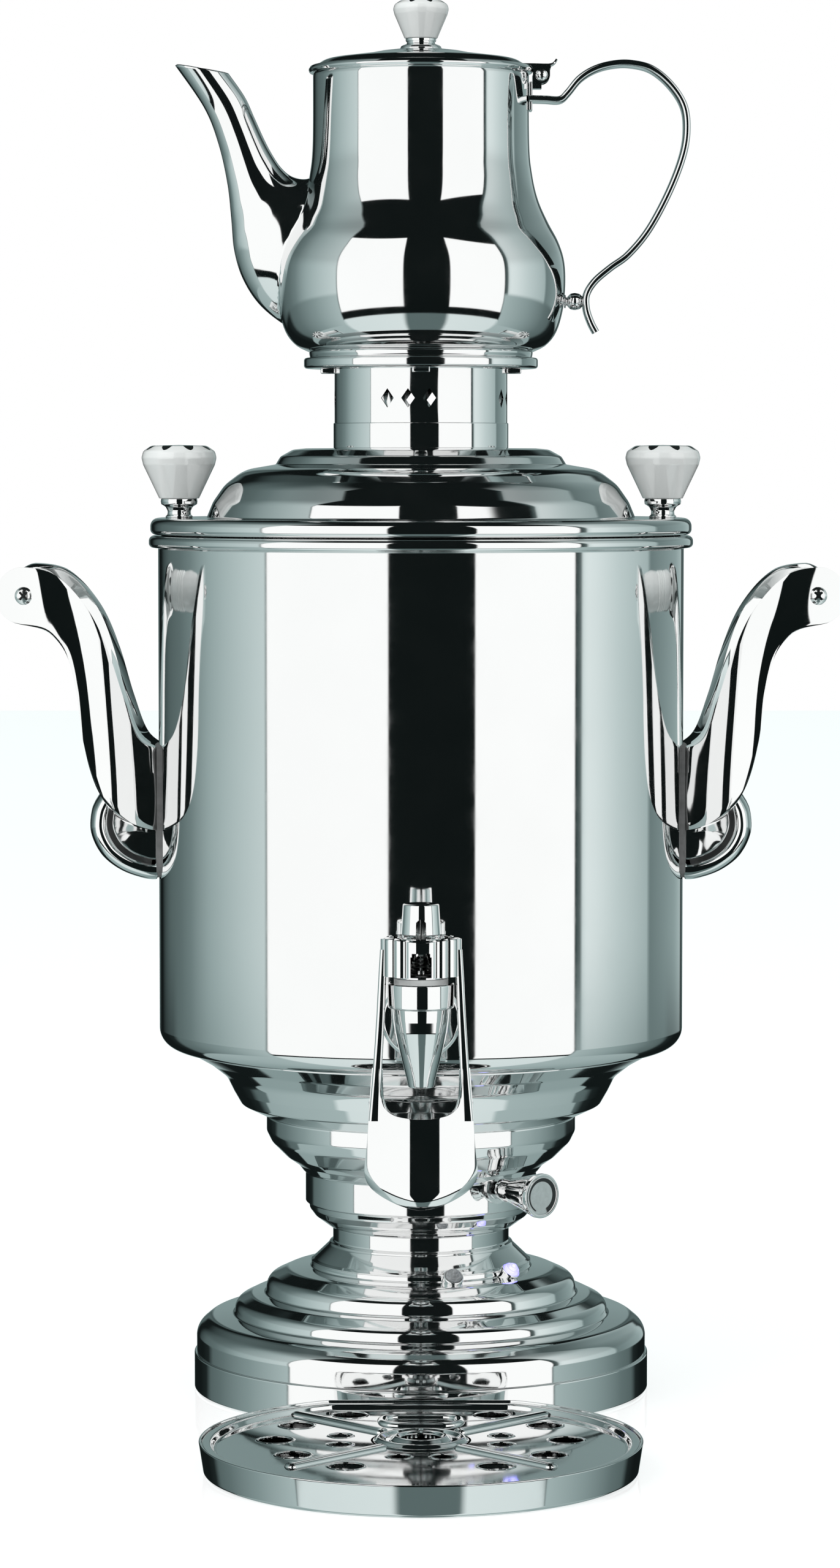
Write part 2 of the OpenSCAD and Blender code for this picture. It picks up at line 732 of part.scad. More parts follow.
block_l = 44;
block_w = 18;
block_h = 15;
module terminal_block() {
    color("ivory") translate([-block_l / 2, 34, z_flange]) difference() {
        cube([block_l, block_w, block_h]);
        for (i = [0:3]) translate([block_l * (i + 0.5) / 4, 0, 0]) {
            translate([0, block_w / 2, block_h * 0.45]) cylinder(d = 4.2, h = block_h);
            translate([0, -1, block_h * 0.3]) rotate([-90, 0, 0]) cylinder(d = 3.2, h = block_w + 2);
        }
    }
}

// Appliance inlet with three flat pins; the socket opens to the back.
inlet_flange_t = 1.6;
socket_w = inlet_w - 3;
socket_h = inlet_h - 3;
socket_depth = 17;
module power_inlet() {
    color("#202224") difference() {
        union() {
            translate([-inlet_w / 2, inlet_y - inlet_l, inlet_z]) cube([inlet_w, inlet_l, inlet_h]);
            translate([-inlet_w / 2 - inlet_lip, inlet_y, inlet_z - inlet_lip])
                cube([inlet_w + 2 * inlet_lip, inlet_flange_t, inlet_h + 2 * inlet_lip]);
        }
        translate([0, inlet_y + inlet_flange_t + eps, inlet_z + inlet_h / 2]) rotate([90, 0, 0])
            linear_extrude(socket_depth) polygon([
                [-socket_w / 2, -socket_h / 2], [socket_w / 2, -socket_h / 2],
                [socket_w / 2, socket_h / 2 - 5], [socket_w / 2 - 5, socket_h / 2],
                [5 - socket_w / 2, socket_h / 2], [-socket_w / 2, socket_h / 2 - 5]
            ]);
    }
}

module inlet_pins() {
    root = inlet_y + inlet_flange_t - socket_depth;
    color("silver") for (p = [[-7, -2], [7, -2], [0, 2]])
        translate([p.x - 1, root, inlet_z + inlet_h / 2 + p.y - 2]) cube([2, inlet_pin_l, 4]);
}

// ---------- thermostat ----------

stat_w = 30;
stat_front = 36;    // distance of the thermostat's front from the middle
stat_l = 22;
collar_rho = housing_r + knob_gap * 0.45;
knob_rho = housing_r + knob_gap;

module thermostat_body() {
    color("gainsboro") difference() {
        outward(knob_az, knob_z) {
            translate([-stat_w / 2, -stat_w / 2, stat_front - stat_l]) cube([stat_w, stat_w, stat_l]);
            translate([0, 0, stat_front - eps]) cylinder(d = 18, h = housing_r - stat_front);
        }
        difference() {
            cylinder(r = housing_r + 40, h = 3 * z_cup);
            translate([0, 0, -1]) cylinder(r = housing_r - sheet, h = 3 * z_cup + 2);
        }
        outward(knob_az, knob_z, stat_front - 6) cylinder(d = shaft_d + 2 * fit, h = 40);
        translate([0, 0, knob_z - 40]) cylinder(d = tie_rod_d + 2, h = 80);
    }
}

// Threaded bush through the housing wall, with its round nut outside.
module shaft_bushing() {
    color("silver") difference() {
        outward(knob_az, knob_z) {
            translate([0, 0, housing_r - 3]) cylinder(d = bush_d, h = collar_rho - housing_r + 3);
            translate([0, 0, housing_r - 1.2]) cylinder(d = bush_d + 4, h = collar_rho - housing_r + 0.6);
        }
        outward(knob_az, knob_z, housing_r - 12) cylinder(d = shaft_d + 2 * fit, h = 30);
        // The nut's back is cut to the housing wall, and the bush ends inside it.
        intersection() {
            housing_solid();
            outward(knob_az, knob_z, housing_r - 12) difference() {
                cylinder(d = bush_d + 12, h = 20);
                cylinder(d = bush_d, h = 20);
            }
        }
        cylinder(r = housing_r - sheet, h = 2 * z_cup);
    }
}

module thermostat_knob() {
    color("silver") outward(knob_az, knob_z, 0) {
        translate([0, 0, stat_front - 5]) cylinder(d = shaft_d, h = knob_rho - stat_front + 12);
        difference() {
            translate([0, 0, knob_rho]) rotate_extrude() polygon(rounded([
                [0, 0], [knob_back_d / 2, 0, 0.8], [knob_back_d / 2 + 0.4, knob_l * 0.25, 4],
                [knob_face_d / 2 - 0.6, knob_l * 0.85, 3], [knob_face_d / 2, knob_l, 1],
                [0, knob_l]
            ]));
            translate([0, 0, knob_rho + knob_l - dial_t]) cylinder(d = dial_d, h = dial_t + 1);
        }
    }
}

dial_t = 0.8;
dial_d = knob_face_d - 2.4;
module knob_dial() {
    color("dimgray") outward(knob_az, knob_z, knob_rho + knob_l - dial_t) cylinder(d = dial_d, h = dial_t);
}

// ---------- lamps ----------

bezel_top = 1.8;
bezel_depth = 9;
module lens(az) {
    at_lamp(az) {
        translate([0, 0, -bezel_depth]) cylinder(d = lens_d, h = bezel_depth + bezel_top);
        translate([0, 0, bezel_top]) rotate_extrude() polygon(concat(
            [[0, 0]], [for (a = [0:10:90]) [lens_d / 2 * cos(a), lens_h * sin(a)]]));
    }
}
module power_lamp_lens() { color("royalblue") lens(power_lamp_az); }
module heat_lamp_lens() { color("lightcyan") lens(heat_lamp_az); }
module lamp_bezels() {
    color("silver") for (az = [heat_lamp_az, power_lamp_az]) at_lamp(az)
        ring(bezel_d / 2, lens_d / 2, -bezel_depth, bezel_top);
}

// ---------- side handles ----------

// Lower and upper edge of an arm seen from the front, as distances from the tank wall and
// heights above the lowest point of the pad.
arm_lower = [[-6, 21], [4.7, 23.4], [15.4, 29.9], [25.4, 43.2], [31.5, 63], [34.5, 86], [38.5, 102],
    [44, 110.4], [52, 115.5]];
arm_upper = [[-6, 58], [5.9, 64.4], [13.3, 81.3], [19.8, 102.1], [26.7, 118.8], [35.1, 130.9],
    [43.5, 138.6], [54, 142.4]];
// Outer face of an arm seen from above, as distances from the tank wall and from the middle.
arm_plan = [[-6, 12], [0, 18.5], [5, 25.5], [12, 35], [20, 42], [30, 45.6], [44, 47], [58, 47], [76, 43.5]];
// Inner face of an arm, from the same places.
arm_inner = [[76, 39], [58, 40.4], [44, 40.8], [31, 40], [21, 36.5], [13.5, 29.5], [8, 21], [5, 12],
    [4, 0]];
// Web that joins the arms at the tank, seen from the front.
web_corners = [[-6, 24], [12, 30, 3], [20, 38, 4], [19, 47, 4], [10, 54, 3], [-6, 56]];
arm_steps = 18;
arm_outer_y = grip_l / 2 + arm_t;

function mirrored_y(list) = [for (v = list) [v.x, -v.y]];

// Turns a shape drawn as seen from the front into a bar across the left handle.
module seen_from_front() {
    translate([-tank_r, 0, pad_low]) rotate([90, 0, 0]) mirror([1, 0])
        linear_extrude(2 * through, center = true) children();
}
module seen_from_above() {
    translate([-tank_r, 0, pad_low - curl_r]) mirror([1, 0]) linear_extrude(3 * through) children();
}

module handle_arms() {
    outer = curve(arm_plan, arm_steps);
    inner = curve(arm_inner, arm_steps);
    intersection() {
        seen_from_front() union() {
            polygon(concat(curve(arm_lower, arm_steps), flip(curve(arm_upper, arm_steps))));
            translate([grip_x - tank_r, grip_z - pad_low]) circle(d = arm_eye_d);
        }
        seen_from_above() polygon(concat(
            outer, inner, flip(mirrored_y([for (i = [0:arm_steps - 1]) inner[i]])), flip(mirrored_y(outer))));
    }
    intersection() {
        seen_from_front() polygon(rounded(web_corners));
        seen_from_above() polygon(concat(outer, flip(mirrored_y(outer))));
    }
}

// Rounded curl below the arms: centres of its outline, measured as for the arm edges.
curl_centres = [[-6, 6.5], [6, 7], [15, 11], [21.5, 18.5], [23.5, 27], [21, 34], [-6, 34]];
curl_r = 8;
module curl() {
    hull() for (p = curl_centres, side = [-1, 1])
        translate([-tank_r - p.x, side * (handle_half_w - curl_r), pad_low + p.y])
            sphere(r = curl_r, $fn = 20);
}

module handle_left() {
    color("silver") difference() {
        union() {
            handle_arms();
            curl();
        }
        translate([0, 0, pad_low - 2 * curl_r]) cylinder(r = tank_r + pad_t, h = 3 * through);
        translate([-grip_x, -through, grip_z]) rotate([-90, 0, 0])
            cylinder(d = grip_screw_d + 2 * fit, h = 2 * through);
        // Flat seats for the ends of the grip.
        translate([-grip_x, -grip_l / 2, grip_z]) rotate([-90, 0, 0])
            cylinder(d = arm_eye_d + 1, h = grip_l);
        for (side = [0, 1]) mirror([0, side, 0])
            translate([-grip_x, -arm_outer_y - 1, grip_z]) rotate([-90, 0, 0])
                cylinder(d = grip_head_d + 0.6, h = 2.6);
        for (z = bolt_heights) outward(-90, z, tank_r) cylinder(d = handle_bolt_d, h = bolt_depth);
    }
}
module handle_right() { mirror([1, 0, 0]) handle_left(); }

bolt_depth = 12;
module handle_pads() {
    color("dimgray") both_sides() intersection() {
        difference() {
            ring(tank_r + pad_t, tank_r, pad_low, pad_high);
            for (z = bolt_heights)
                outward(-90, z, tank_r - pad_t) cylinder(d = handle_bolt_d, h = bolt_depth);
        }
        translate([-tank_r, 0, 0]) rotate([90, 0, 90]) linear_extrude(through, center = true)
            polygon(rounded([
                [-handle_half_w, pad_low, 8], [handle_half_w, pad_low, 8],
                [handle_half_w, pad_high, 4], [-handle_half_w, pad_high, 4]
            ]));
    }
}

bolt_head_h = 3;
seal_t = 1.4;
module handle_bolts() {
    flat = sqrt(pow(tank_in_r, 2) - pow(handle_bolt_d, 2));
    color("silver") for (side = [-90, 90], z = bolt_heights) outward(side, z) {
        translate([0, 0, flat - seal_t]) cylinder(d = handle_bolt_d, h = tank_r + bolt_depth - flat + seal_t);
        translate([0, 0, flat - seal_t - bolt_head_h]) cylinder(d = 2 * handle_bolt_d, h = bolt_head_h);
    }
}

// Ceramic grip: a barrel with three rings in the middle and a flared end at each arm.
grip_d = 19;
grip_rod_d = 7;
module grip(x) {
    rings = 3;
    ring_pitch = 4.6;
    half = grip_l / 2;
    color("white") translate([x, 0, grip_z]) rotate([90, 0, 0]) difference() {
        union() {
            turned([
                [0, -half], [grip_d / 2, -half, 1.4], [grip_d / 2 + 0.8, 3 - half, 1.5],
                [grip_d / 2 - 1.6, 7 - half, 3], [grip_d / 2 + 0.4, -half / 2, 24],
                [grip_d / 2 - 0.9, -8, 3], [grip_d / 2 - 0.9, 8, 3], [grip_d / 2 + 0.4, half / 2, 24],
                [grip_d / 2 - 1.6, half - 7, 3], [grip_d / 2 + 0.8, half - 3, 1.5],
                [grip_d / 2, half, 1.4], [0, half]
            ]);
            for (i = [-1:1]) translate([0, 0, i * ring_pitch]) rotate_extrude()
                translate([grip_d / 2 - 0.9, 0]) circle(r = ring_pitch * 0.42, $fn = 24);
        }
        translate([0, 0, -half - 1]) cylinder(d = grip_rod_d, h = grip_l + 2);
    }
}
module handle_grip_left() { grip(-grip_x); }
module handle_grip_right() { grip(grip_x); }

grip_screw_l = 16;
module grip_rods() {
    color("gray") for (x = [-grip_x, grip_x]) translate([x, grip_l / 2, grip_z]) rotate([90, 0, 0])
        difference() {
            cylinder(d = grip_rod_d, h = grip_l);
            for (z = [-eps, grip_l - grip_screw_l + arm_t])
                translate([0, 0, z]) cylinder(d = grip_screw_d, h = grip_screw_l - arm_t + eps);
        }
}

module grip_screws() {
    color("silver") for (x = [-grip_x, grip_x], side = [0, 1]) mirror([0, side, 0])
        translate([x, -arm_outer_y + 1.6, grip_z]) rotate([-90, 0, 0]) {
            cylinder(d = grip_screw_d, h = grip_screw_l - 1.6);
            difference() {
                rotate_extrude() polygon(concat(
                    [[0, 0]], [for (a = [0:15:90]) [-grip_head_d / 2 * cos(a), -2.4 * sin(a)] * -1]
                ) * [[1, 0], [0, -1]]);
                for (turn = [0, 90]) rotate([0, 0, turn + 45])
                    translate([-0.5, -grip_head_d * 0.3, -3]) cube([1, grip_head_d * 0.6, 2]);
            }
        }
}

// ---------- tap ----------

tap_y = -tank_r - tap_reach;
gasket_t = 1.5;
tap_flange_t = 3;
seat_z = tap_z - 6.6;
nozzle_z = tap_z - nozzle_drop;
ring_low = tap_z + 9.2;
ring_top = tap_z + 19.9;
seal_h = 2;
bonnet_z = ring_top + seal_h;
hood_z = bonnet_z + 0.2;
hood_top = hood_z + hood_h;
pivot_z = hood_z + 6.4;

module at_tap() { translate([0, tap_y, 0]) children(); }

module tap_body() {
    barrel_r = tap_ring_d / 2 - 1.9;
    wall_z = tap_z - tap_flange_d / 2 - 4;
    color("silver") difference() {
        union() {
            at_tap() turned([
                [0, nozzle_z], [nozzle_tip_d / 2, nozzle_z, 0.8], [barrel_r, ring_low - 1, 6],
                [barrel_r, ring_low, 0.6], [tap_ring_d / 2, ring_low, 0.8],
                [tap_ring_d / 2, ring_top, 0.8], [0, ring_top]
            ]);
            outward(0, tap_z, tank_in_r - 14) cylinder(d = shank_d, h = tap_reach + 14);
            difference() {
                outward(0, tap_z, tank_r - 6) cylinder(d = tap_flange_d, h = 6 + gasket_t + tap_flange_t);
                translate([0, 0, wall_z]) cylinder(r = tank_r + gasket_t, h = tap_flange_d + 8);
            }
        }
        at_tap() {
            disc(chamber_d / 2, seat_z, ring_top + 1);
            disc(outlet_bore_d / 2, nozzle_z - 1, seat_z + 1);
        }
        outward(0, tap_z, tank_in_r - 20) cylinder(d = inlet_bore_d, h = tap_reach + 20);
    }
}

// Silicone pads on both faces of the tank wall; each is cut to the wall's curve.
washer_d = 28;
washer_t = 4;
module tap_gaskets() {
    color("whitesmoke") difference() {
        union() {
            intersection() {
                ring(tank_r + gasket_t, tank_r, tap_z - 30, tap_z + 30);
                outward(0, tap_z, tank_r - 10) cylinder(d = tap_flange_d - 2, h = 20);
            }
            intersection() {
                disc(tank_in_r, tap_z - 30, tap_z + 30);
                outward(0, tap_z, tank_in_r - washer_t) cylinder(d = washer_d, h = 2 * washer_t);
            }
        }
        outward(0, tap_z, tank_in_r - 20) cylinder(d = shank_d, h = 40);
    }
}

tap_nut_h = 6;
module tap_nut() {
    color("silver") outward(0, tap_z, tank_in_r - washer_t - tap_nut_h) hex_nut(24, shank_d, tap_nut_h);
}

stem_d = 4;
stem_gap = 0.3;
module tap_seal() {
    color("whitesmoke") at_tap() ring(11.6, stem_d / 2 + stem_gap, ring_top, bonnet_z);
}

bonnet_d = 21.6;
bonnet_h = 14.6;
spring_room_d = 10.8;
bonnet_top = bonnet_z + bonnet_h;
pivot_in = 6.6;
module tap_bonnet() {
    color("silver") at_tap() difference() {
        disc(bonnet_d / 2, bonnet_z, bonnet_top);
        disc(spring_room_d / 2, bonnet_z - 1, bonnet_top - 2.2);
        disc(stem_d / 2 + fit, bonnet_z, bonnet_top + 1);
        translate([-4, -bonnet_d, bonnet_z - 1]) cube([8, bonnet_d, 11]);
        pivots(2 * fit);
    }
}

module pivots(extra = 0) {
    for (side = [-1, 1]) translate([side * pivot_in, 0, pivot_z]) rotate([0, side * 90, 0])
        cylinder(d = pivot_d + extra, h = hood_d / 2 - pivot_in - 0.2);
}
module pivot_pins() { color("silver") at_tap() pivots(); }

// Lever stations from hood to paddle: height below the pivot, forward offset, inner and outer
// half width, and half thickness front to back.
lever_stations = [
    [-6, 0, 14.4, 17.8, 5], [8, 0.5, 14.8, 18.6, 5.2], [24, 3.5, 15.4, 19.3, 4.6],
    [42, 7, 16.4, 20.4, 3.4], [58, 11, 17.4, 21.6, 2.6], [66, 13.6, 17.4, 22.2, paddle_t / 2]
];
paddle_top = 58;
paddle_low = 103;
paddle_lean = 13;
paddle_out = 16;
// Radius of the paddle's face, bowed from side to side.
paddle_bow_r = 40;
flute_angles = [25, 47, 72, 108, 140];
flute_r = 1.5;
notch_w = 9.4;
notch_h = 11.5;
tongue_in = 7.2;

function lever_ring(s, side) = [
    for (i = [0:section_sides - 1])
        let (
            t = i * 360 / section_sides,
            x = (s[2] + s[3]) / 2 + (s[3] - s[2]) / 2 * power(cos(t), 0.5),
            y = tap_y - s[1] + s[4] * power(sin(t), 0.5)
        )
        [side * x, y, pivot_z - s[0]]
];

module tap_lever() {
    paddle_y = tap_y - paddle_out;
    color("silver") {
        at_tap() difference() {
            union() {
                disc(hood_d / 2, hood_z, hood_top);
            }
            disc(hood_bore_d / 2, hood_z - 1, hood_top - tongue_t);
            difference() {
                disc(hood_bore_d / 2, hood_top - tongue_t - 1, hood_top + 1);
                translate([-4, tongue_in, hood_top - tongue_t]) cube([8, hood_bore_d / 2, tongue_t]);
            }
            for (a = flute_angles, side = [-1, 1]) rotate([0, 0, side * a])
                translate([0, -hood_d / 2 - 0.5, hood_z - 1]) cylinder(r = flute_r, h = hood_h + 2, $fn = 24);
            translate([-notch_w / 2, -hood_d, hood_z - 1]) cube([notch_w, hood_d, notch_h + 1]);
            pivots();
        }
        for (side = [-1, 1]) difference() {
            loft(side > 0 ? [for (s = curve(lever_stations, 10)) lever_ring(s, 1)]
                          : [for (s = curve(lever_stations, 10)) flip(lever_ring(s, -1))]);
            at_tap() disc(hood_d / 2 - 0.4, hood_z - 0.4, hood_top + 1);
            at_tap() pivots();
        }
        translate([0, paddle_y, pivot_z - paddle_top]) rotate([90 - paddle_lean, 0, 0])
            intersection() {
                linear_extrude(6 * paddle_t, center = true) polygon(rounded([
                    [-paddle_w / 2 + 2, 10, 1], [-paddle_w / 2 - 0.2, -32, 6],
                    [0, paddle_top - paddle_low - 8, 40], [paddle_w / 2 + 0.2, -32, 6],
                    [paddle_w / 2 - 2, 10, 1], [paddle_w / 2 - 6, 10, 1], [paddle_w / 2 - 7, 0, 9],
                    [7 - paddle_w / 2, 0, 9], [6 - paddle_w / 2, 10, 1]
                ]));
                translate([0, 0, paddle_t / 2 - paddle_bow_r]) rotate([90, 0, 0]) difference() {
                    cylinder(r = paddle_bow_r, h = 4 * paddle_w, center = true);
                    cylinder(r = paddle_bow_r - paddle_t, h = 5 * paddle_w, center = true);
                }
            }
    }
}

tongue_t = 2;
cap_z = hood_top + flat_touch;
cap_h = 13.3;
stem_collar_z = bonnet_z + 2;
stem_collar_h = 1.5;
plug_h = 6;
module valve_stem() {
    color("silver") at_tap() {
        disc(stem_d / 2, seat_z + plug_h, cap_z + cap_h - 3);
        disc(4.6, stem_collar_z, stem_collar_z + stem_collar_h);
    }
}
module valve_plug() {
    color("whitesmoke") at_tap() turned([
        [0, seat_z], [plug_d / 2 - 0.8, seat_z], [plug_d / 2, seat_z + 1.6, 0.5],
        [plug_d / 2, seat_z + plug_h - 1.5, 1], [stem_d, seat_z + plug_h], [0, seat_z + plug_h]
    ]);
}
module valve_cap() {
    color("silver") at_tap() difference() {
        turned([[0, cap_z], [8.6, cap_z, 0.4], [7.9, cap_z + cap_h, 1.2], [0, cap_z + cap_h]]);
        disc(stem_d / 2, cap_z - 1, cap_z + cap_h - 3);
    }
}

spring_turns = 5;
spring_sides = 6;
spring_steps = 14;
wire_r = 0.45;
module valve_spring() {
    low = stem_collar_z + stem_collar_h + wire_r;
    rise = bonnet_top - 2.2 - wire_r - low;
    mean_r = spring_room_d / 2 - 1.5;
    n = spring_turns * spring_steps;
    color("silver") at_tap() loft([
        for (i = [0:n]) let (a = i * 360 / spring_steps, z = low + rise * i / n)
            [for (j = [0:spring_sides - 1])
                let (b = -j * 360 / spring_sides, r = mean_r + wire_r * cos(b))
                [r * cos(a), r * sin(a), z + wire_r * sin(b)]]
    ]);
}

// ---------- lid ----------

module lid_dome() {
    edge_r = tank_r + lid_edge_out;
    step_r = dome_step_d / 2;
    plug_r = tank_in_r - lid_plug_gap;
    color("silver") difference() {
        union() {
            turned([
                [tank_r - 0.5, z_rim], [edge_r, z_rim, 2.9], [edge_r, z_brim, 2.9], [tank_r - 0.5, z_brim]
            ]);
            spun_sheet([
                [tank_r - 0.5, z_brim], [dome_r + 0.4, z_brim, 1.6],
                [dome_r - 2.6, z_brim + 0.3 * dome_h, 10],
                [dome_r - 8, z_brim + 0.62 * dome_h, 14], [dome_r - 17, z_brim + 0.9 * dome_h, 14],
                [step_r + 0.6, z_dome, 0.8], [step_r - 1.4, z_dome + 0.5 * dome_step_h, 3],
                [step_r - 7, z_dome + 0.92 * dome_step_h, 4], [step_r - 13, z_collar, 2],
                [collar_d / 2 - 4, z_collar]
            ], sheet);
            ring(plug_r, plug_r - sheet, z_rim - lid_plug_h, z_brim - sheet);
        }
        both_sides() translate([lid_knob_x, 0, z_brim - 10]) cylinder(d = plate_screw_d, h = 20);
    }
}

module lid_collar() {
    r = collar_d / 2;
    color("silver") turned([
        [r - 1, z_collar], [r, z_collar, 0.3], [r, z_crown, 0.4], [r - 1, z_crown]
    ]);
}

knob_neck_h = 8.8;
ferrule_h = 2.5;
// Ceramic knob with a rounded top, standing on z = 0.
module ceramic_knob(d, foot, h, bore) {
    color("white") difference() {
        turned([
            [0, 0], [foot, 0, 0.6], [foot + 0.1 * d, h * 0.25, 6], [d / 2, h * 0.6, h * 0.2],
            [d / 2 - 0.4, h * 0.82, h * 0.2], [d * 0.3, h * 0.99, h * 0.3], [0, h]
        ]);
        translate([0, 0, -1]) cylinder(d = bore, h = h * 0.6 + 1);
    }
}
lid_knob_foot = 9.1;
module lid_knob(x) {
    translate([x, 0, z_brim + knob_neck_h])
        ceramic_knob(lid_knob_d, lid_knob_foot, lid_knob_h, plate_screw_d);
}
module lid_knob_left() { lid_knob(-lid_knob_x); }
module lid_knob_right() { lid_knob(lid_knob_x); }

lid_neck_r = 0.24 * brim_w;
module lid_knob_necks() {
    top = z_brim + knob_neck_h;
    ferrule_r = lid_knob_foot - 0.9;
    color("silver") both_sides() translate([lid_knob_x, 0, 0]) {
        turned([
            [0, z_brim], [lid_neck_r + 0.8, z_brim, 0.3], [lid_neck_r, z_brim + 1.6, 1.5],
            [lid_neck_r + 1, top - ferrule_h - 1.4, 3], [ferrule_r, top - ferrule_h, 0.4],
            [ferrule_r, top, 0.6], [0, top]
        ]);
        disc(plate_screw_d / 2, z_brim - sheet - 4, top + lid_knob_h * 0.6);
        disc(plate_screw_d, z_brim - sheet - 3, z_brim - sheet);
    }
}

// ---------- steam crown ----------

diamond_pitch = 14;
diamond_groups = 4;
diamond_turn = -8.5;
diamond_z = z_crown + 0.44 * crown_h;
crown_wall = 0.8;
module crown_sleeve() {
    spigot_r = collar_d / 2 - 1 - spigot_gap;
    color("silver") difference() {
        union() {
            ring(crown_r, crown_r - crown_wall, z_crown, z_stand);
            ring(crown_r, spigot_r - crown_wall, z_crown, z_crown + 1);
            ring(spigot_r, spigot_r - crown_wall, z_crown - spigot_h, z_crown + 1);
        }
        for (g = [0:diamond_groups - 1], k = [-1:1])
            outward(diamond_turn + g * 360 / diamond_groups + k * diamond_pitch, diamond_z, crown_r - 6)
                linear_extrude(10) polygon([
                    [-diamond_w / 2, 0], [0, -diamond_h / 2], [diamond_w / 2, 0], [0, diamond_h / 2]
                ]);
    }
}

clip_h = 3.2;
clip_w = 8;
module teapot_stand() {
    r = stand_d / 2;
    recess_r = pot_foot_d / 2 + 0.4;
    top = z_roll_top + stand_plate_t;
    color("silver") {
        turned([
            [stand_hole_d / 2, z_stand], [r, z_stand, 1.7], [r, z_roll_top, 1.2],
            [r - 0.6, z_roll_top + 0.1, 0.2], [r - 0.5, top, 0.6], [recess_r, top],
            [recess_r, z_pot], [stand_hole_d / 2, z_pot]
        ]);
        difference() {
            around(4) translate([crown_r - 2, -clip_w / 2, z_stand - clip_h]) cube([8, clip_w, clip_h + 1]);
            translate([0, 0, z_stand - 10]) cylinder(r = crown_r, h = 20);
        }
    }
}

// ---------- teapot ----------

// Foot of the teapot, then points of its belly and neck, up from the foot.
function pot_foot() = let (foot = pot_foot_d / 2) [
    [0, 1], [foot - 5, 1, 0.6], [foot - 4, 0, 0.4], [foot, 0, 0.9], [foot + 0.3, 2.6]
];
function pot_belly() = let (r = pot_d / 2) [
    [pot_foot_d / 2 + 0.5, 2.8], [r - 9, 6], [r - 4.2, 12], [r - 1.2, 22], [r - 0.1, 33], [r - 0.6, 44],
    [r - 3.4, 53], [r - 8.2, 62], [r - 12.6, 72], [pot_neck_r + 1.6, 83], [pot_neck_r + 0.2, 97],
    [pot_neck_r, pot_h]
];
belly_steps = 44;
function raised(p, z) = [for (v = p) [v.x, v.y + z]];
function pot_line() = raised(concat(rounded_line(pot_foot()), curve(pot_belly(), belly_steps)), z_pot);

// The teapot without its hollow, used to trim what is joined to its outside.
module pot_solid() {
    rotate_extrude() polygon(raised(concat(
        [[0, -5], [pot_foot_d / 2 + 0.3, -5]], curve(pot_belly(), belly_steps), [[0, pot_h]]), z_pot));
}

strainer_z = z_pot + 56;
module teapot_body() {
    color("silver") difference() {
        rotate_extrude() polygon(sheet_outline(pot_line(), pot_wall));
        for (row = [-2:2], k = [-2:2])
            if (abs(k) + abs(row) < 4)
                translate([0, 0, strainer_z + row * 7]) rotate([0, 0, 180 + k * 6])
                    rotate([0, 90, 0]) cylinder(d = strainer_d, h = pot_d, $fn = 24);
    }
}

// Lower and upper edge of the spout seen from the front, from root to mouth, as distances
// from the middle and heights above the teapot's foot, with half the spout's width.
spout_stations = [
    [[-46, 8], [-40, 88], 15], [[-60, 14], [-46, 84.5], 17], [[-73, 24], [-52, 81.5], 16.6],
    [[-81, 36], [-58.5, 82.5], 15], [[-85, 49], [-63.5, 86.5], 12.8], [[-86.3, 63], [-67.6, 92.5], 11],
    [[-88, 79], [-71.3, 99.5], 9.8], [[-92, 97], [-75.6, 109], 9], [[-98.5, 113.5], [-80, 118.5], 8.8],
    [[-111.6, 132.6], [-87.3, 129]  , 9.6]
];
spout_steps = 18;
function spout_ring(s, inset) =
    let (
        edge = [curve_at([for (e = spout_stations) e[0]], s), curve_at([for (e = spout_stations) e[1]], s)],
        w = min(curve_at([for (e = spout_stations) [e[2], 0]], s)[0], spout_w / 2),
        along = unit(edge[0] - edge[1]) * inset
    )
    section(edge[0] - along + [0, z_pot], edge[1] + along + [0, z_pot], 0, w - inset);
function spout_rings(inset) = [
    for (i = [0:spout_steps]) spout_ring(i * (len(spout_stations) - 1) / spout_steps, inset)
];
module teapot_spout() {
    color("silver") difference() {
        hollow_loft(spout_rings(0), spout_rings(pot_wall + 0.2));
        pot_solid();
    }
}

// Middle line of the handle strap, as distances from the middle and heights above the foot.
strap_line = [
    [pot_neck_r + 0.2, 117.4], [56, 117.2], [62.9, 117], [66.5, 120], [72, 126.5], [79, 130.8], [87.2, 133],
    [95.4, 133.2], [104.6, 130.8], [113, 124], [119.1, 114.8], [120.7, 104.6], [119.1, 92.4],
    [113, 76], [103.7, 58.6], [94.3, 47.2], [86.2, 41.2], [79, 35], [75.3, 28.8], [75.3, 22.5],
    [77.3, 16.4], [79.6, 12]
];
strap_steps = 48;
module strap(line, n, w, t) {
    pts = curve(line, n);
    loft([for (i = [0:n])
        let (
            a = pts[max(0, i - 1)], b = pts[min(n, i + 1)], d = unit(b - a), side = [-d.y, d.x] * t / 2,
            p = pts[i] + [0, z_pot]
        )
        [[p.x + side.x, -w / 2, p.y + side.y], [p.x + side.x, w / 2, p.y + side.y],
         [p.x - side.x, w / 2, p.y - side.y], [p.x - side.x, -w / 2, p.y - side.y]]
    ]);
}

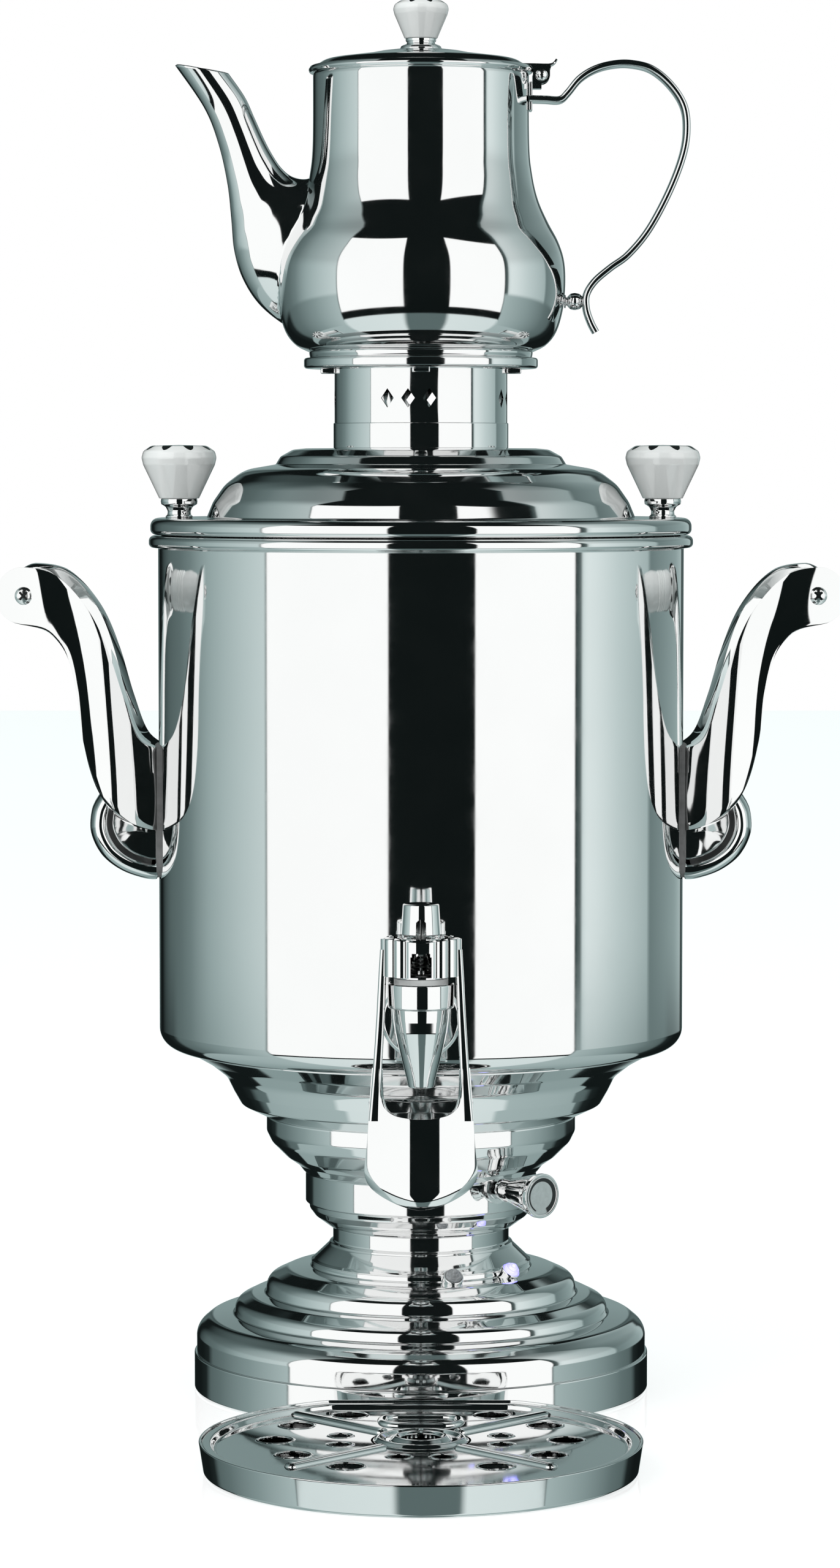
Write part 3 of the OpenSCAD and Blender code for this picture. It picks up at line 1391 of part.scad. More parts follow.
post_z = z_pot + 26;
post_ball_d = 7.6;
hinge_x = 54.7;
hinge_z = z_pot_rim - 1;
bracket_w = 12;
module teapot_handle() {
    bracket_low = z_pot_rim - 17;
    color("silver") difference() {
        union() {
            strap(strap_line, strap_steps, strap_w, strap_t);
            translate([pot_d / 2 - 4, 0, post_z]) rotate([0, 90, 0]) cylinder(d = 4.4, h = 12);
            translate([pot_d / 2 + 3.6, 0, post_z]) sphere(d = post_ball_d, $fn = 32);
            translate([pot_neck_r - 1, -bracket_w / 2, bracket_low])
                cube([2.6, bracket_w, hinge_z - bracket_low]);
        }
        pot_solid();
        translate([hinge_x, -through / 2, hinge_z]) rotate([-90, 0, 0])
            cylinder(d = hinge_barrel_d, h = through);
    }
}

module hinge_barrel() {
    color("silver") difference() {
        union() {
            translate([hinge_x, hinge_barrel_w / 2, hinge_z]) rotate([90, 0, 0])
                cylinder(d = hinge_barrel_d, h = hinge_barrel_w);
            translate([pot_neck_r + 1.6, -hinge_barrel_w / 2, hinge_z - 6])
                cube([hinge_x - pot_neck_r - 1.6, hinge_barrel_w, 6]);
        }
        translate([hinge_x, through / 2, hinge_z]) rotate([90, 0, 0])
            cylinder(d = hinge_pin_d + 2 * fit, h = through);
    }
}

lid_skirt_h = 8;
pot_neck_h = 5;
// Rim of the teapot's lid, from its outer edge in to the radius inner.
module pot_lid_rim(inner) {
    r = pot_lid_d / 2;
    base = z_pot_rim;
    turned([
        [inner, base], [r - 0.6, base, 0.4], [r, base + 1.6, 0.8], [r - 1.2, base + 3.4, 0.8],
        [inner, base + 3.4]
    ]);
}
module teapot_lid() {
    base = z_pot_rim;
    color("silver") difference() {
        union() {
            pot_lid_rim(pot_neck_r - 2);
            spun_sheet([
                [pot_neck_r - 1.5, base + 3.4], [43.9, base + 3.4 + 0.28 * pot_lid_h, 20],
                [25, base + 3.4 + 0.55 * pot_lid_h, 20], [19, base + 3.4 + 0.68 * pot_lid_h, 3],
                [12, base + 3.4 + 0.78 * pot_lid_h, 4], [0, base + 3.4 + 0.78 * pot_lid_h]
            ], sheet);
            ring(pot_neck_r - pot_wall - 0.6, pot_neck_r - pot_wall - 1.4, base - lid_skirt_h, base + 2);
        }
        cylinder(d = 3, h = 2 * z_pot_rim);
    }
}

pot_knob_z = z_pot_rim + 3.4 + 0.78 * pot_lid_h + pot_neck_h;
pot_knob_foot = 7.4;
module teapot_lid_knob() {
    translate([0, 0, pot_knob_z]) ceramic_knob(pot_knob_d, pot_knob_foot, pot_knob_h, 3);
}

module lid_hinge_leaf() {
    low = pot_knob_z - pot_neck_h;
    ear_t = 1.2;
    ear_in = hinge_barrel_w / 2 + slack;
    hood_w = 2 * (ear_in + ear_t);
    roof_z = hinge_z + hinge_barrel_d / 2 + 0.5;
    ferrule_r = pot_knob_foot - 1;
    color("silver") {
        turned([
            [0, low], [1.5 * ferrule_r, low, 0.4], [1.4 * ferrule_r, low + 1.6, 0.8],
            [ferrule_r, low + 2.6, 0.6], [ferrule_r, pot_knob_z, 0.4], [0, pot_knob_z]
        ]);
        disc(1.5, low - sheet - 3, pot_knob_z + pot_knob_h * 0.6);
        disc(3, low - sheet - 2.4, low - sheet);
        difference() {
            union() {
                translate([pot_lid_d / 2 - 2, -hood_w / 2, roof_z])
                    cube([hinge_x + 4.2 - pot_lid_d / 2 + 2, hood_w, ear_t]);
                for (side = [-1, 1]) translate([hinge_x, side * (ear_in + ear_t / 2), hinge_z])
                    rotate([90, 0, 0]) translate([0, 0, -ear_t / 2]) {
                        cylinder(r = 3.8, h = ear_t);
                        translate([-3.8, 0, 0]) cube([7.6, roof_z - hinge_z, ear_t]);
                    }
            }
            translate([hinge_x, through / 2, hinge_z]) rotate([90, 0, 0])
                cylinder(d = hinge_pin_d, h = through);
            pot_lid_rim(0);
        }
    }
}

module hinge_pin() {
    half = hinge_barrel_w / 2 + slack + 1.2;
    color("silver") translate([hinge_x, 0, hinge_z]) rotate([90, 0, 0]) {
        translate([0, 0, -half]) cylinder(d = hinge_pin_d, h = 2 * half);
        for (side = [0, 1]) mirror([0, 0, side]) translate([0, 0, half]) rotate_extrude()
            polygon(concat([[0, 0]], [for (a = [0:15:90]) [2.8 * cos(a), 1.7 * sin(a)]]));
    }
}

// ---------- drip tray ----------

tray_r = tray_d / 2;
tray_front_y = -ring_r - tray_gap - tray_back;
grid_y = tray_front_y + 14.5;
ledge_z = tray_h - 1.6;
grid_gap = 0.4;

// Plan of the tray, moved in from its edge by inset.
module tray_plan(inset) {
    intersection() {
        translate([0, tray_front_y]) circle(r = tray_r - inset);
        translate([-tray_r, tray_front_y - tray_r]) square([tray_d, tray_r + tray_back - inset]);
    }
}

module drip_tray() {
    foot_step = 2.5;
    color("silver") difference() {
        union() {
            linear_extrude(tray_h) tray_plan(foot_step);
            translate([0, 0, 1.2]) linear_extrude(tray_h - 1.2) tray_plan(0);
        }
        translate([0, 0, 2.4]) linear_extrude(tray_h) tray_plan(foot_step + tray_t);
        translate([0, 0, ledge_z]) linear_extrude(tray_h) tray_plan(tray_t);
    }
}

grid_t = 0.8;
rib_w = 6.4;
rib_h = 1.4;
rib_in = 25;
rib_out = 74;
hub_r = 18;
// Positions of the drain holes as angles from the straight back.
drain_angles = [30, 60, 90, 120, 150, 210, 240, 270, 300, 330];
small_angles = [75, 105, 165, 195, 255, 285];

module at_grid(angle, r) { translate([0, grid_y]) rotate(90 + angle) translate([r, 0]) children(); }

module drip_grid() {
    plate_z = ledge_z + grid_t - grid_drop;
    flange_in = tray_t + grid_gap + grid_flange_w;
    color("silver") difference() {
        union() {
            translate([0, 0, ledge_z]) linear_extrude(grid_t) difference() {
                tray_plan(tray_t + grid_gap);
                tray_plan(flange_in);
            }
            translate([0, 0, plate_z - grid_t]) linear_extrude(grid_drop + grid_t) difference() {
                tray_plan(flange_in - grid_t);
                tray_plan(flange_in);
            }
            translate([0, 0, plate_z - grid_t]) linear_extrude(grid_t) tray_plan(flange_in);
            translate([0, grid_y, plate_z]) difference() {
                cylinder(r = hub_r, h = rib_h);
                translate([0, 0, -1]) cylinder(r = hub_r - 4, h = rib_h + 2);
            }
            translate([0, 0, plate_z]) linear_extrude(rib_h) for (a = [45, 135, 225, 315]) {
                at_grid(a, rib_in) circle(d = rib_w);
                at_grid(a, rib_out) circle(d = rib_w);
                at_grid(a, rib_in) translate([0, -rib_w / 2]) square([rib_out - rib_in, rib_w]);
            }
        }
        translate([0, 0, plate_z - 5]) linear_extrude(10) {
            for (a = drain_angles) at_grid(a, drain_circle_d / 2) circle(d = drain_d);
            for (a = small_angles) at_grid(a, small_circle_d / 2) circle(d = small_drain_d);
            at_grid(0, 0) circle(d = hub_hole_d);
        }
    }
}

base_ring();
base_plate();
rubber_feet();
plate_screws();
base_shell();
waist_collar();
control_housing();
bowl_skirt();
tank_shell();
heat_spreader();
heating_element();
dry_boil_cutout();
tie_rod();
tie_nuts();
terminal_block();
power_inlet();
inlet_pins();
thermostat_body();
shaft_bushing();
power_lamp_lens();
heat_lamp_lens();
lamp_bezels();
handle_left();
handle_right();
handle_pads();
handle_bolts();
handle_grip_left();
handle_grip_right();
grip_rods();
grip_screws();
tap_body();
tap_gaskets();
tap_nut();
tap_seal();
tap_bonnet();
pivot_pins();
tap_lever();
valve_stem();
valve_plug();
valve_cap();
valve_spring();
thermostat_knob();
knob_dial();
lid_dome();
lid_collar();
lid_knob_left();
lid_knob_right();
lid_knob_necks();
crown_sleeve();
teapot_stand();
teapot_body();
teapot_spout();
teapot_handle();
hinge_barrel();
teapot_lid();
teapot_lid_knob();
lid_hinge_leaf();
hinge_pin();
drip_tray();
drip_grid();
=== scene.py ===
"""Builds the looks of an electric samovar with its teapot and drip tray around its CAD frame."""

import json
import math

import bmesh
import bpy
from mathutils import Matrix, Vector


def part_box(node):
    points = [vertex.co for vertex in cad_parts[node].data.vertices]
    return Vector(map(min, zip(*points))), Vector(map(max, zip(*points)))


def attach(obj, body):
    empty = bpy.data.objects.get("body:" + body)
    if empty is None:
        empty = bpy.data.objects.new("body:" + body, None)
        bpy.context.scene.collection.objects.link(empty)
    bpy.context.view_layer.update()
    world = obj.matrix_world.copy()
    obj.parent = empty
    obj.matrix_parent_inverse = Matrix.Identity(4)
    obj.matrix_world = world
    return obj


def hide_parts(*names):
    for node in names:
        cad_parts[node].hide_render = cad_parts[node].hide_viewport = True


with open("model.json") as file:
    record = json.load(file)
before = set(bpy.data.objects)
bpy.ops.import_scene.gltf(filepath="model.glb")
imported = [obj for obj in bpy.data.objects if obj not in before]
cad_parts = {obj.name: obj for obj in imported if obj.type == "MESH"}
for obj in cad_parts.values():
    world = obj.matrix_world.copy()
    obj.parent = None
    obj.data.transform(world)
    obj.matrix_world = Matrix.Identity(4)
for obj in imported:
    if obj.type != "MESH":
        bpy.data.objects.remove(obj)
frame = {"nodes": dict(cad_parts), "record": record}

bl_info = {
    "name": "Electric samovar",
    "version": (1, 0, 0),
    "blender": (4, 5, 0),
    "location": "View3D > Sidebar > Samovar",
    "description": "Spins, lofts and finishes the pieces of an electric samovar",
    "category": "Object",
}

# Metres in a millimetre.
MM = 0.001
NODES = frame["nodes"]


def low(node):
    """Lowest corner of a node's box, in millimetres."""
    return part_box(node)[0] / MM


def high(node):
    """Highest corner of a node's box, in millimetres."""
    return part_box(node)[1] / MM


# ---------- driving sizes, in millimetres ----------

# Wall of the turned sheet.
SHEET = 0.8
# Tank: radius of its wall, floor and rim, and the top of the lid's brim above it.
TANK_R = high("tank_shell").x - 4.2
TANK_FLOOR = low("tank_shell").z
TANK_RIM = high("tank_shell").z
BRIM = TANK_RIM + 7.9
# Teapot: foot, rim and radius of its neck.
POT_Z = low("teapot_body").z
POT_RIM = high("teapot_body").z
NECK_R = 49.0
# Side handles: axis of the grips and foot of the pads.
GRIP_X = 178.0
GRIP_Z = TANK_FLOOR + 207.5
PAD_LOW = low("handle_pads").z
# Tap: axis of its barrel, height of its shank and height of the lever's pins.
TAP_Y = -TANK_R - 40
TAP_Z = TANK_FLOOR + 26
PIVOT_Z = TAP_Z + 28.5


# ---------- lines ----------

def corner(before, at, after, radius, step):
    """Points of an arc that rounds the corner at `at`, as far as its sides allow."""
    to_before = (before - at).normalized()
    to_after = (after - at).normalized()
    half = math.acos(max(-1.0, min(1.0, to_before.dot(to_after)))) / 2
    if radius <= 0 or half > math.radians(89):
        return [at]
    reach = min(radius / math.tan(half), 0.49 * min((before - at).length, (after - at).length))
    radius = reach * math.tan(half)
    centre = at + (to_before + to_after).normalized() * radius / math.sin(half)
    start = at + to_before * reach - centre
    end = at + to_after * reach - centre
    sweep = start.angle_signed(end)
    count = max(2, math.ceil(abs(math.degrees(sweep)) / step))
    return [centre + Matrix.Rotation(-sweep * i / count, 2) @ start for i in range(count + 1)]


def rounded(corners, step=10.0, closed=False):
    """Points of a line through corners (x, y, radius), each rounded to its radius."""
    points = [Vector(c[:2]) for c in corners]
    radii = [c[2] if len(c) > 2 else 0 for c in corners]
    count = len(points)
    line = []
    for i, at in enumerate(points):
        if not closed and i in (0, count - 1):
            line.append(at)
        else:
            line += corner(points[i - 1], at, points[(i + 1) % count], radii[i], step)
    return supported(line, closed)


def supported(line, closed, reach=0.3):
    """The same line with a point near each end of its long straight stretches."""
    out = []
    count = len(line)
    for i, point in enumerate(line):
        out.append(point)
        if i == count - 1 and not closed:
            break
        step = line[(i + 1) % count] - point
        if step.length > 5 * reach:
            out += [point + step.normalized() * reach, point + step - step.normalized() * reach]
    return out


def finer(line, step):
    """The same line with its long stretches split."""
    out = [line[0]]
    for a, b in zip(line, line[1:]):
        parts = max(1, math.ceil((b - a).length / step))
        out += [a.lerp(b, (i + 1) / parts) for i in range(parts)]
    return out


def curve_at(points, s):
    """Point of a smooth curve through points, at s from 0 to 1."""
    last = len(points) - 1
    s = max(0.0, min(1.0, s)) * last
    i = min(int(s), last - 1)
    t = s - i
    a, b, c, d = (points[max(0, min(last, i + k))] for k in (-1, 0, 1, 2))
    return 0.5 * (2 * b + (c - a) * t + (2 * a - 5 * b + 4 * c - d) * t * t
                  + (3 * b - a - 3 * c + d) * t * t * t)


def smooth_line(corners, count):
    """Evenly spaced points along a smooth curve through corners."""
    points = [Vector(c) for c in corners]
    fine = [curve_at(points, i / (8 * count)) for i in range(8 * count + 1)]
    lengths = [0.0]
    for a, b in zip(fine, fine[1:]):
        lengths.append(lengths[-1] + (b - a).length)
    line = []
    k = 0
    for i in range(count + 1):
        target = lengths[-1] * i / count
        while k < len(fine) - 2 and lengths[k + 1] < target:
            k += 1
        span = lengths[k + 1] - lengths[k] or 1.0
        line.append(fine[k].lerp(fine[k + 1], min(1.0, (target - lengths[k]) / span)))
    return line


def height_of(line, x):
    """Second coordinate of a line where its first coordinate, which only grows, passes x."""
    for a, b in zip(line, line[1:]):
        if x <= b.x or b is line[-1]:
            share = (x - a.x) / (b.x - a.x) if b.x != a.x else 0.0
            return a.y + (b.y - a.y) * max(0.0, min(1.0, share))
    return line[0].y


def eased(t):
    """A smooth step from 0 to 1."""
    t = max(0.0, min(1.0, t))
    return t * t * (3 - 2 * t)


# ---------- meshes ----------

UPWARDS = Vector((0, 0, 1))
FORWARDS = Vector((0, -1, 0))


def turn_outwards(bm, closed):
    """Points every face away from the axis of a turned piece."""
    bmesh.ops.recalc_face_normals(bm, faces=bm.faces)
    if closed:
        return
    widest = max(bm.faces, key=lambda f: f.calc_center_median().xy.length * abs(f.normal.xy.length))
    if widest.normal.xy.dot(widest.calc_center_median().xy) < 0:
        bmesh.ops.reverse_faces(bm, faces=bm.faces)


def spin_line(line, segments, closed=False):
    """Turns a line of (radius, height) once around Z."""
    bm = bmesh.new()
    verts = [bm.verts.new((x * MM, 0, z * MM)) for x, z in line]
    pairs = list(zip(verts, verts[1:]))
    if closed:
        pairs.append((verts[-1], verts[0]))
    edges = [bm.edges.new(pair) for pair in pairs]
    bmesh.ops.spin(bm, geom=verts + edges, cent=(0, 0, 0), axis=(0, 0, 1), angle=2 * math.pi,
                   steps=segments, use_merge=True)
    bmesh.ops.remove_doubles(bm, verts=bm.verts, dist=0.001 * MM)
    turn_outwards(bm, closed)
    return bm


def shaped_grid(across, along, place, closed=True):
    """A grid whose points go where place(u, v) says, in millimetres, with its seams merged."""
    bm = bmesh.new()
    bmesh.ops.create_grid(bm, x_segments=across, y_segments=along, size=0.5)
    for vert in bm.verts:
        vert.co = Vector(place(vert.co.x + 0.5, vert.co.y + 0.5)) * MM
    if closed:
        bmesh.ops.remove_doubles(bm, verts=bm.verts, dist=0.002 * MM)
        bmesh.ops.dissolve_degenerate(bm, edges=bm.edges, dist=0.002 * MM)
        bmesh.ops.recalc_face_normals(bm, faces=bm.faces)
    return bm


def close_ends(bm):
    """Fills the open ends of a tube."""
    rim = [e for e in bm.edges if e.is_boundary]
    bmesh.ops.holes_fill(bm, edges=rim, sides=0)
    bmesh.ops.recalc_face_normals(bm, faces=bm.faces)


def joined(*parts):
    """One bmesh that holds all the given ones."""
    whole = bmesh.new()
    for part in parts:
        mesh = bpy.data.meshes.new("part")
        part.to_mesh(mesh)
        part.free()
        whole.from_mesh(mesh)
        bpy.data.meshes.remove(mesh)
    return whole


def moved(bm, *steps):
    """Applies matrices to a bmesh, one after the other; lengths in them are in millimetres."""
    for matrix in steps:
        matrix = matrix.copy()
        matrix.translation *= MM
        bmesh.ops.transform(bm, matrix=matrix, verts=bm.verts)
    return bm


def shift(x, y, z):
    """Matrix that moves by x, y and z."""
    return Matrix.Translation((x, y, z))


def turn(degrees, axis):
    """Matrix that turns round an axis."""
    return Matrix.Rotation(math.radians(degrees), 4, axis)


def outward(az, z, rho):
    """Matrix that points local +Z outwards at direction az, at height z and radius rho."""
    return turn(az, "Z") @ shift(0, -rho, z) @ turn(90, "X")


def finish(name, bm, slot, body, node=None, look=None, sharp=38, wall=0.0, edge=0.0):
    """Makes the object, gives it its look, and lets it ride on a body in place of a CAD node."""
    mesh = bpy.data.meshes.new(name)
    bm.to_mesh(mesh)
    bm.free()
    mesh.shade_smooth()
    mesh.set_sharp_from_angle(angle=math.radians(sharp))
    piece = bpy.data.objects.new(name, mesh)
    bpy.context.scene.collection.objects.link(piece)
    mesh.materials.append(LOOKS[look or slot])
    if wall:
        thick = piece.modifiers.new("Wall", "SOLIDIFY")
        thick.thickness = wall * MM
        thick.offset = -1
    if edge:
        bevel = piece.modifiers.new("Edge", "BEVEL")
        bevel.width = edge * MM
        bevel.segments = 3
        bevel.limit_method = "ANGLE"
        bevel.angle_limit = math.radians(50)
    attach(piece, body)
    if node:
        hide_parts(node)


def spun(name, corners, slot, body, node=None, closed=False, wall=0.0, segments=None, step=10.0, place=None):
    """A turned piece from corners (radius, height, fillet)."""
    bm = spin_line(rounded(corners, step, closed), segments or sizes().segments, closed)
    if place:
        moved(bm, place)
    finish(name, bm, slot, body, node, wall=wall)


def block(size, place):
    """A small block with rounded edges, as the clips and brackets of sheet work are."""
    bm = bmesh.new()
    bmesh.ops.create_cube(bm, size=1)
    bmesh.ops.scale(bm, vec=Vector(size) * MM, verts=bm.verts)
    bmesh.ops.bevel(bm, geom=list(bm.edges), offset=0.5 * MM, offset_type="OFFSET", segments=3,
                    profile=0.5, affect="EDGES", material=-1)
    return moved(bm, place)


def facing(bm, way):
    """Turns an open surface so that it faces a way."""
    if sum(f.normal.dot(way) * f.calc_area() for f in bm.faces) < 0:
        bmesh.ops.reverse_faces(bm, faces=bm.faces)
    return bm


# ---------- materials ----------

class Nodes:
    """A short way to write a material's or a world's nodes."""

    def __init__(self, tree):
        self.tree = tree

    def new(self, kind, **values):
        """A node of a kind, with its own values set."""
        node = self.tree.nodes.new(kind)
        for key, value in values.items():
            setattr(node, key, value)
        return node

    def link(self, source, target):
        """Links an output to a socket."""
        self.tree.links.new(source, target)

    def put(self, socket, value):
        """Links a socket to an output, or sets it to a number."""
        if isinstance(value, bpy.types.NodeSocket):
            self.link(value, socket)
        else:
            socket.default_value = value

    def math(self, operation, *values):
        """The result of a sum on numbers or outputs."""
        node = self.new("ShaderNodeMath", operation=operation)
        for socket, value in zip(node.inputs, values):
            self.put(socket, value)
        return node.outputs[0]

    def smooth(self, value, start, end, low_out=0.0, high_out=1.0):
        """A smooth step of value from start to end."""
        node = self.new("ShaderNodeMapRange", interpolation_type="SMOOTHSTEP")
        for socket, number in zip(node.inputs, (value, start, end, low_out, high_out)):
            self.put(socket, number)
        return node.outputs[0]

    def mix(self, share, first, second):
        """A colour between two, by share."""
        node = self.new("ShaderNodeMix", data_type="RGBA")
        self.put(node.inputs[0], share)
        self.put(node.inputs[6], first)
        self.put(node.inputs[7], second)
        return node.outputs[2]

    def noise(self, scale, detail=3.0, roughness=0.5, stretch=(1, 1, 1)):
        """Noise over the piece's own coordinates."""
        place = self.new("ShaderNodeTexCoord")
        mapping = self.new("ShaderNodeMapping")
        mapping.inputs["Scale"].default_value = stretch
        self.link(place.outputs["Object"], mapping.inputs["Vector"])
        node = self.new("ShaderNodeTexNoise")
        self.link(mapping.outputs["Vector"], node.inputs["Vector"])
        node.inputs["Scale"].default_value = scale
        node.inputs["Detail"].default_value = detail
        node.inputs["Roughness"].default_value = roughness
        return node.outputs["Fac"]

    def bump(self, height, strength, distance):
        """A normal that follows a height; the distance is in millimetres."""
        node = self.new("ShaderNodeBump")
        node.inputs["Strength"].default_value = strength
        node.inputs["Distance"].default_value = distance * MM
        self.link(height, node.inputs["Height"])
        return node.outputs["Normal"]


PAINT = (0.012, 0.016, 0.016, 1)
WHITE = (1, 1, 1, 1)


def new_look(name):
    """A new material with its nodes and its shader."""
    material = bpy.data.materials.new(name)
    material.use_nodes = True
    shader = material.node_tree.nodes["Principled BSDF"]
    return material, Nodes(material.node_tree), shader


def grey(value):
    """A neutral colour."""
    return (value, value, value, 1.0)


def metal(name, colour, smooth_to, rough_to, grain=(1, 1, 1), bump=0.02):
    """Metal with faint marks: roughness runs between two values and the surface waves a little."""
    look, nodes, shader = new_look(name)
    shader.inputs["Metallic"].default_value = 1.0
    marks = nodes.noise(60, detail=6, roughness=0.65, stretch=grain)
    nodes.link(nodes.smooth(marks, 0.35, 0.75, smooth_to, rough_to), shader.inputs["Roughness"])
    stain = nodes.noise(14, detail=4)
    tint = nodes.mix(nodes.smooth(stain, 0.3, 0.7), shade(colour, 0.975), colour)
    nodes.link(tint, shader.inputs["Base Color"])
    nodes.link(nodes.bump(marks, bump, 0.02), shader.inputs["Normal"])
    return look


def shade(colour, share):
    """A colour with its light taken down to a share."""
    return tuple(c * share for c in colour[:3]) + (1.0,)


def glaze(name, colour, petals, start, end, fill):
    """White glaze with a row of painted petals, from one share of the outline to another."""
    look, nodes, shader = new_look(name)
    place = nodes.new("ShaderNodeUVMap", uv_map="Round")
    split = nodes.new("ShaderNodeSeparateXYZ")
    nodes.link(place.outputs["UV"], split.inputs[0])
    around = nodes.math("MULTIPLY", split.outputs["X"], float(petals))
    offset = nodes.math("ABSOLUTE", nodes.math("SUBTRACT", nodes.math("FRACT", around), 0.5))
    along = nodes.math("DIVIDE", nodes.math("SUBTRACT", split.outputs["Y"], start), end - start)
    inside = nodes.math("MAXIMUM", nodes.math("SINE", nodes.math("MULTIPLY", along, math.pi)), 0.0)
    begun = nodes.math("GREATER_THAN", along, 0.0)
    row = nodes.math("MULTIPLY", begun, nodes.math("LESS_THAN", along, 1.0))
    width = nodes.math("MULTIPLY", nodes.math("POWER", inside, 0.6), fill)
    brush = nodes.math("MULTIPLY", nodes.noise(900, detail=2), 0.05)
    edge = nodes.math("SUBTRACT", nodes.math("ADD", width, brush), nodes.math("ADD", offset, 0.025))
    paint = nodes.math("MULTIPLY", nodes.smooth(edge, -0.01, 0.02), row)
    cloud = nodes.smooth(nodes.noise(40), 0.3, 0.7)
    white = nodes.mix(cloud, colour, shade(colour, 0.97))
    nodes.link(nodes.mix(paint, white, PAINT), shader.inputs["Base Color"])
    nodes.link(nodes.smooth(cloud, 0, 1, 0.10, 0.16), shader.inputs["Roughness"])
    shader.inputs["Coat Weight"].default_value = 1.0
    shader.inputs["Coat Roughness"].default_value = 0.02
    nodes.link(nodes.bump(nodes.noise(250), 0.03, 0.03), shader.inputs["Normal"])
    return look


def rubbery(name, colour, paler, roughness, scale=180):
    """Rubber, silicone or plastic: two close shades in a fine mottle, with a fine bump."""
    look, nodes, shader = new_look(name)
    mottle = nodes.noise(scale, detail=5, roughness=0.6)
    nodes.link(nodes.mix(nodes.smooth(mottle, 0.35, 0.65), colour, paler), shader.inputs["Base Color"])
    nodes.link(nodes.smooth(mottle, 0.3, 0.7, roughness, roughness + 0.12), shader.inputs["Roughness"])
    nodes.link(nodes.bump(mottle, 0.15, 0.05), shader.inputs["Normal"])
    return look


def lamp_look(name, colour, glow, strength):
    """A lens with a lit heart, or a clear one where strength is 0."""
    look, nodes, shader = new_look(name)
    facets = nodes.noise(700, detail=1)
    tint = nodes.mix(nodes.smooth(facets, 0.4, 0.6), colour, shade(colour, 0.8))
    nodes.link(tint, shader.inputs["Base Color"])
    shader.inputs["Roughness"].default_value = 0.08
    shader.inputs["Transmission Weight"].default_value = 0.55
    shader.inputs["IOR"].default_value = 1.49
    nodes.link(nodes.bump(facets, 0.3, 0.1), shader.inputs["Normal"])
    if strength:
        heart = nodes.new("ShaderNodeLayerWeight")
        heart.inputs["Blend"].default_value = 0.45
        lit = nodes.mix(heart.outputs["Facing"], (0.75, 0.72, 1, 1), glow)
        nodes.link(lit, shader.inputs["Emission Color"])
        shader.inputs["Emission Strength"].default_value = strength
    return look


# The dial's painted arc: its radius, and half its width at both ends.
ARC_R = 7.3
ARC_HALF_WIDTHS = (0.35, 1.25)


def dial_look(name, az, height, rho):
    """Brushed disc with a dark arc that grows wider on its way round."""
    look, nodes, shader = new_look(name)
    place = nodes.new("ShaderNodeTexCoord")
    centre = nodes.new("ShaderNodeMapping", vector_type="TEXTURE")
    matrix = outward(az, height, rho)
    centre.inputs["Location"].default_value = matrix.translation * MM
    centre.inputs["Rotation"].default_value = matrix.to_euler()
    nodes.link(place.outputs["Object"], centre.inputs["Vector"])
    split = nodes.new("ShaderNodeSeparateXYZ")
    nodes.link(centre.outputs["Vector"], split.inputs[0])
    x, y = split.outputs["X"], split.outputs["Y"]
    squares = nodes.math("ADD", nodes.math("MULTIPLY", x, x), nodes.math("MULTIPLY", y, y))
    radius = nodes.math("SQRT", squares)
    # 0 where the arc starts at the lower left, 1 where it ends at the lower right.
    angle = nodes.math("DIVIDE", nodes.math("ARCTAN2", x, y), 2 * math.pi)
    turned = nodes.math("ADD", angle, 0.5)
    width = nodes.smooth(turned, 0.08, 0.95, *(w * MM for w in ARC_HALF_WIDTHS))
    off = nodes.math("ABSOLUTE", nodes.math("SUBTRACT", radius, ARC_R * MM))
    band = nodes.smooth(nodes.math("SUBTRACT", width, off), -0.08 * MM, 0.08 * MM)
    gate = nodes.math("MULTIPLY", nodes.smooth(turned, 0.07, 0.09), nodes.smooth(turned, 0.93, 0.95, 1, 0))
    paint = nodes.math("MULTIPLY", band, gate)
    silver = nodes.mix(nodes.noise(500), grey(0.62), grey(0.78))
    nodes.link(nodes.mix(paint, silver, (0.01, 0.014, 0.014, 1)), shader.inputs["Base Color"])
    nodes.link(nodes.math("SUBTRACT", 1.0, paint), shader.inputs["Metallic"])
    shader.inputs["Roughness"].default_value = 0.24
    return look


LOOKS = {}


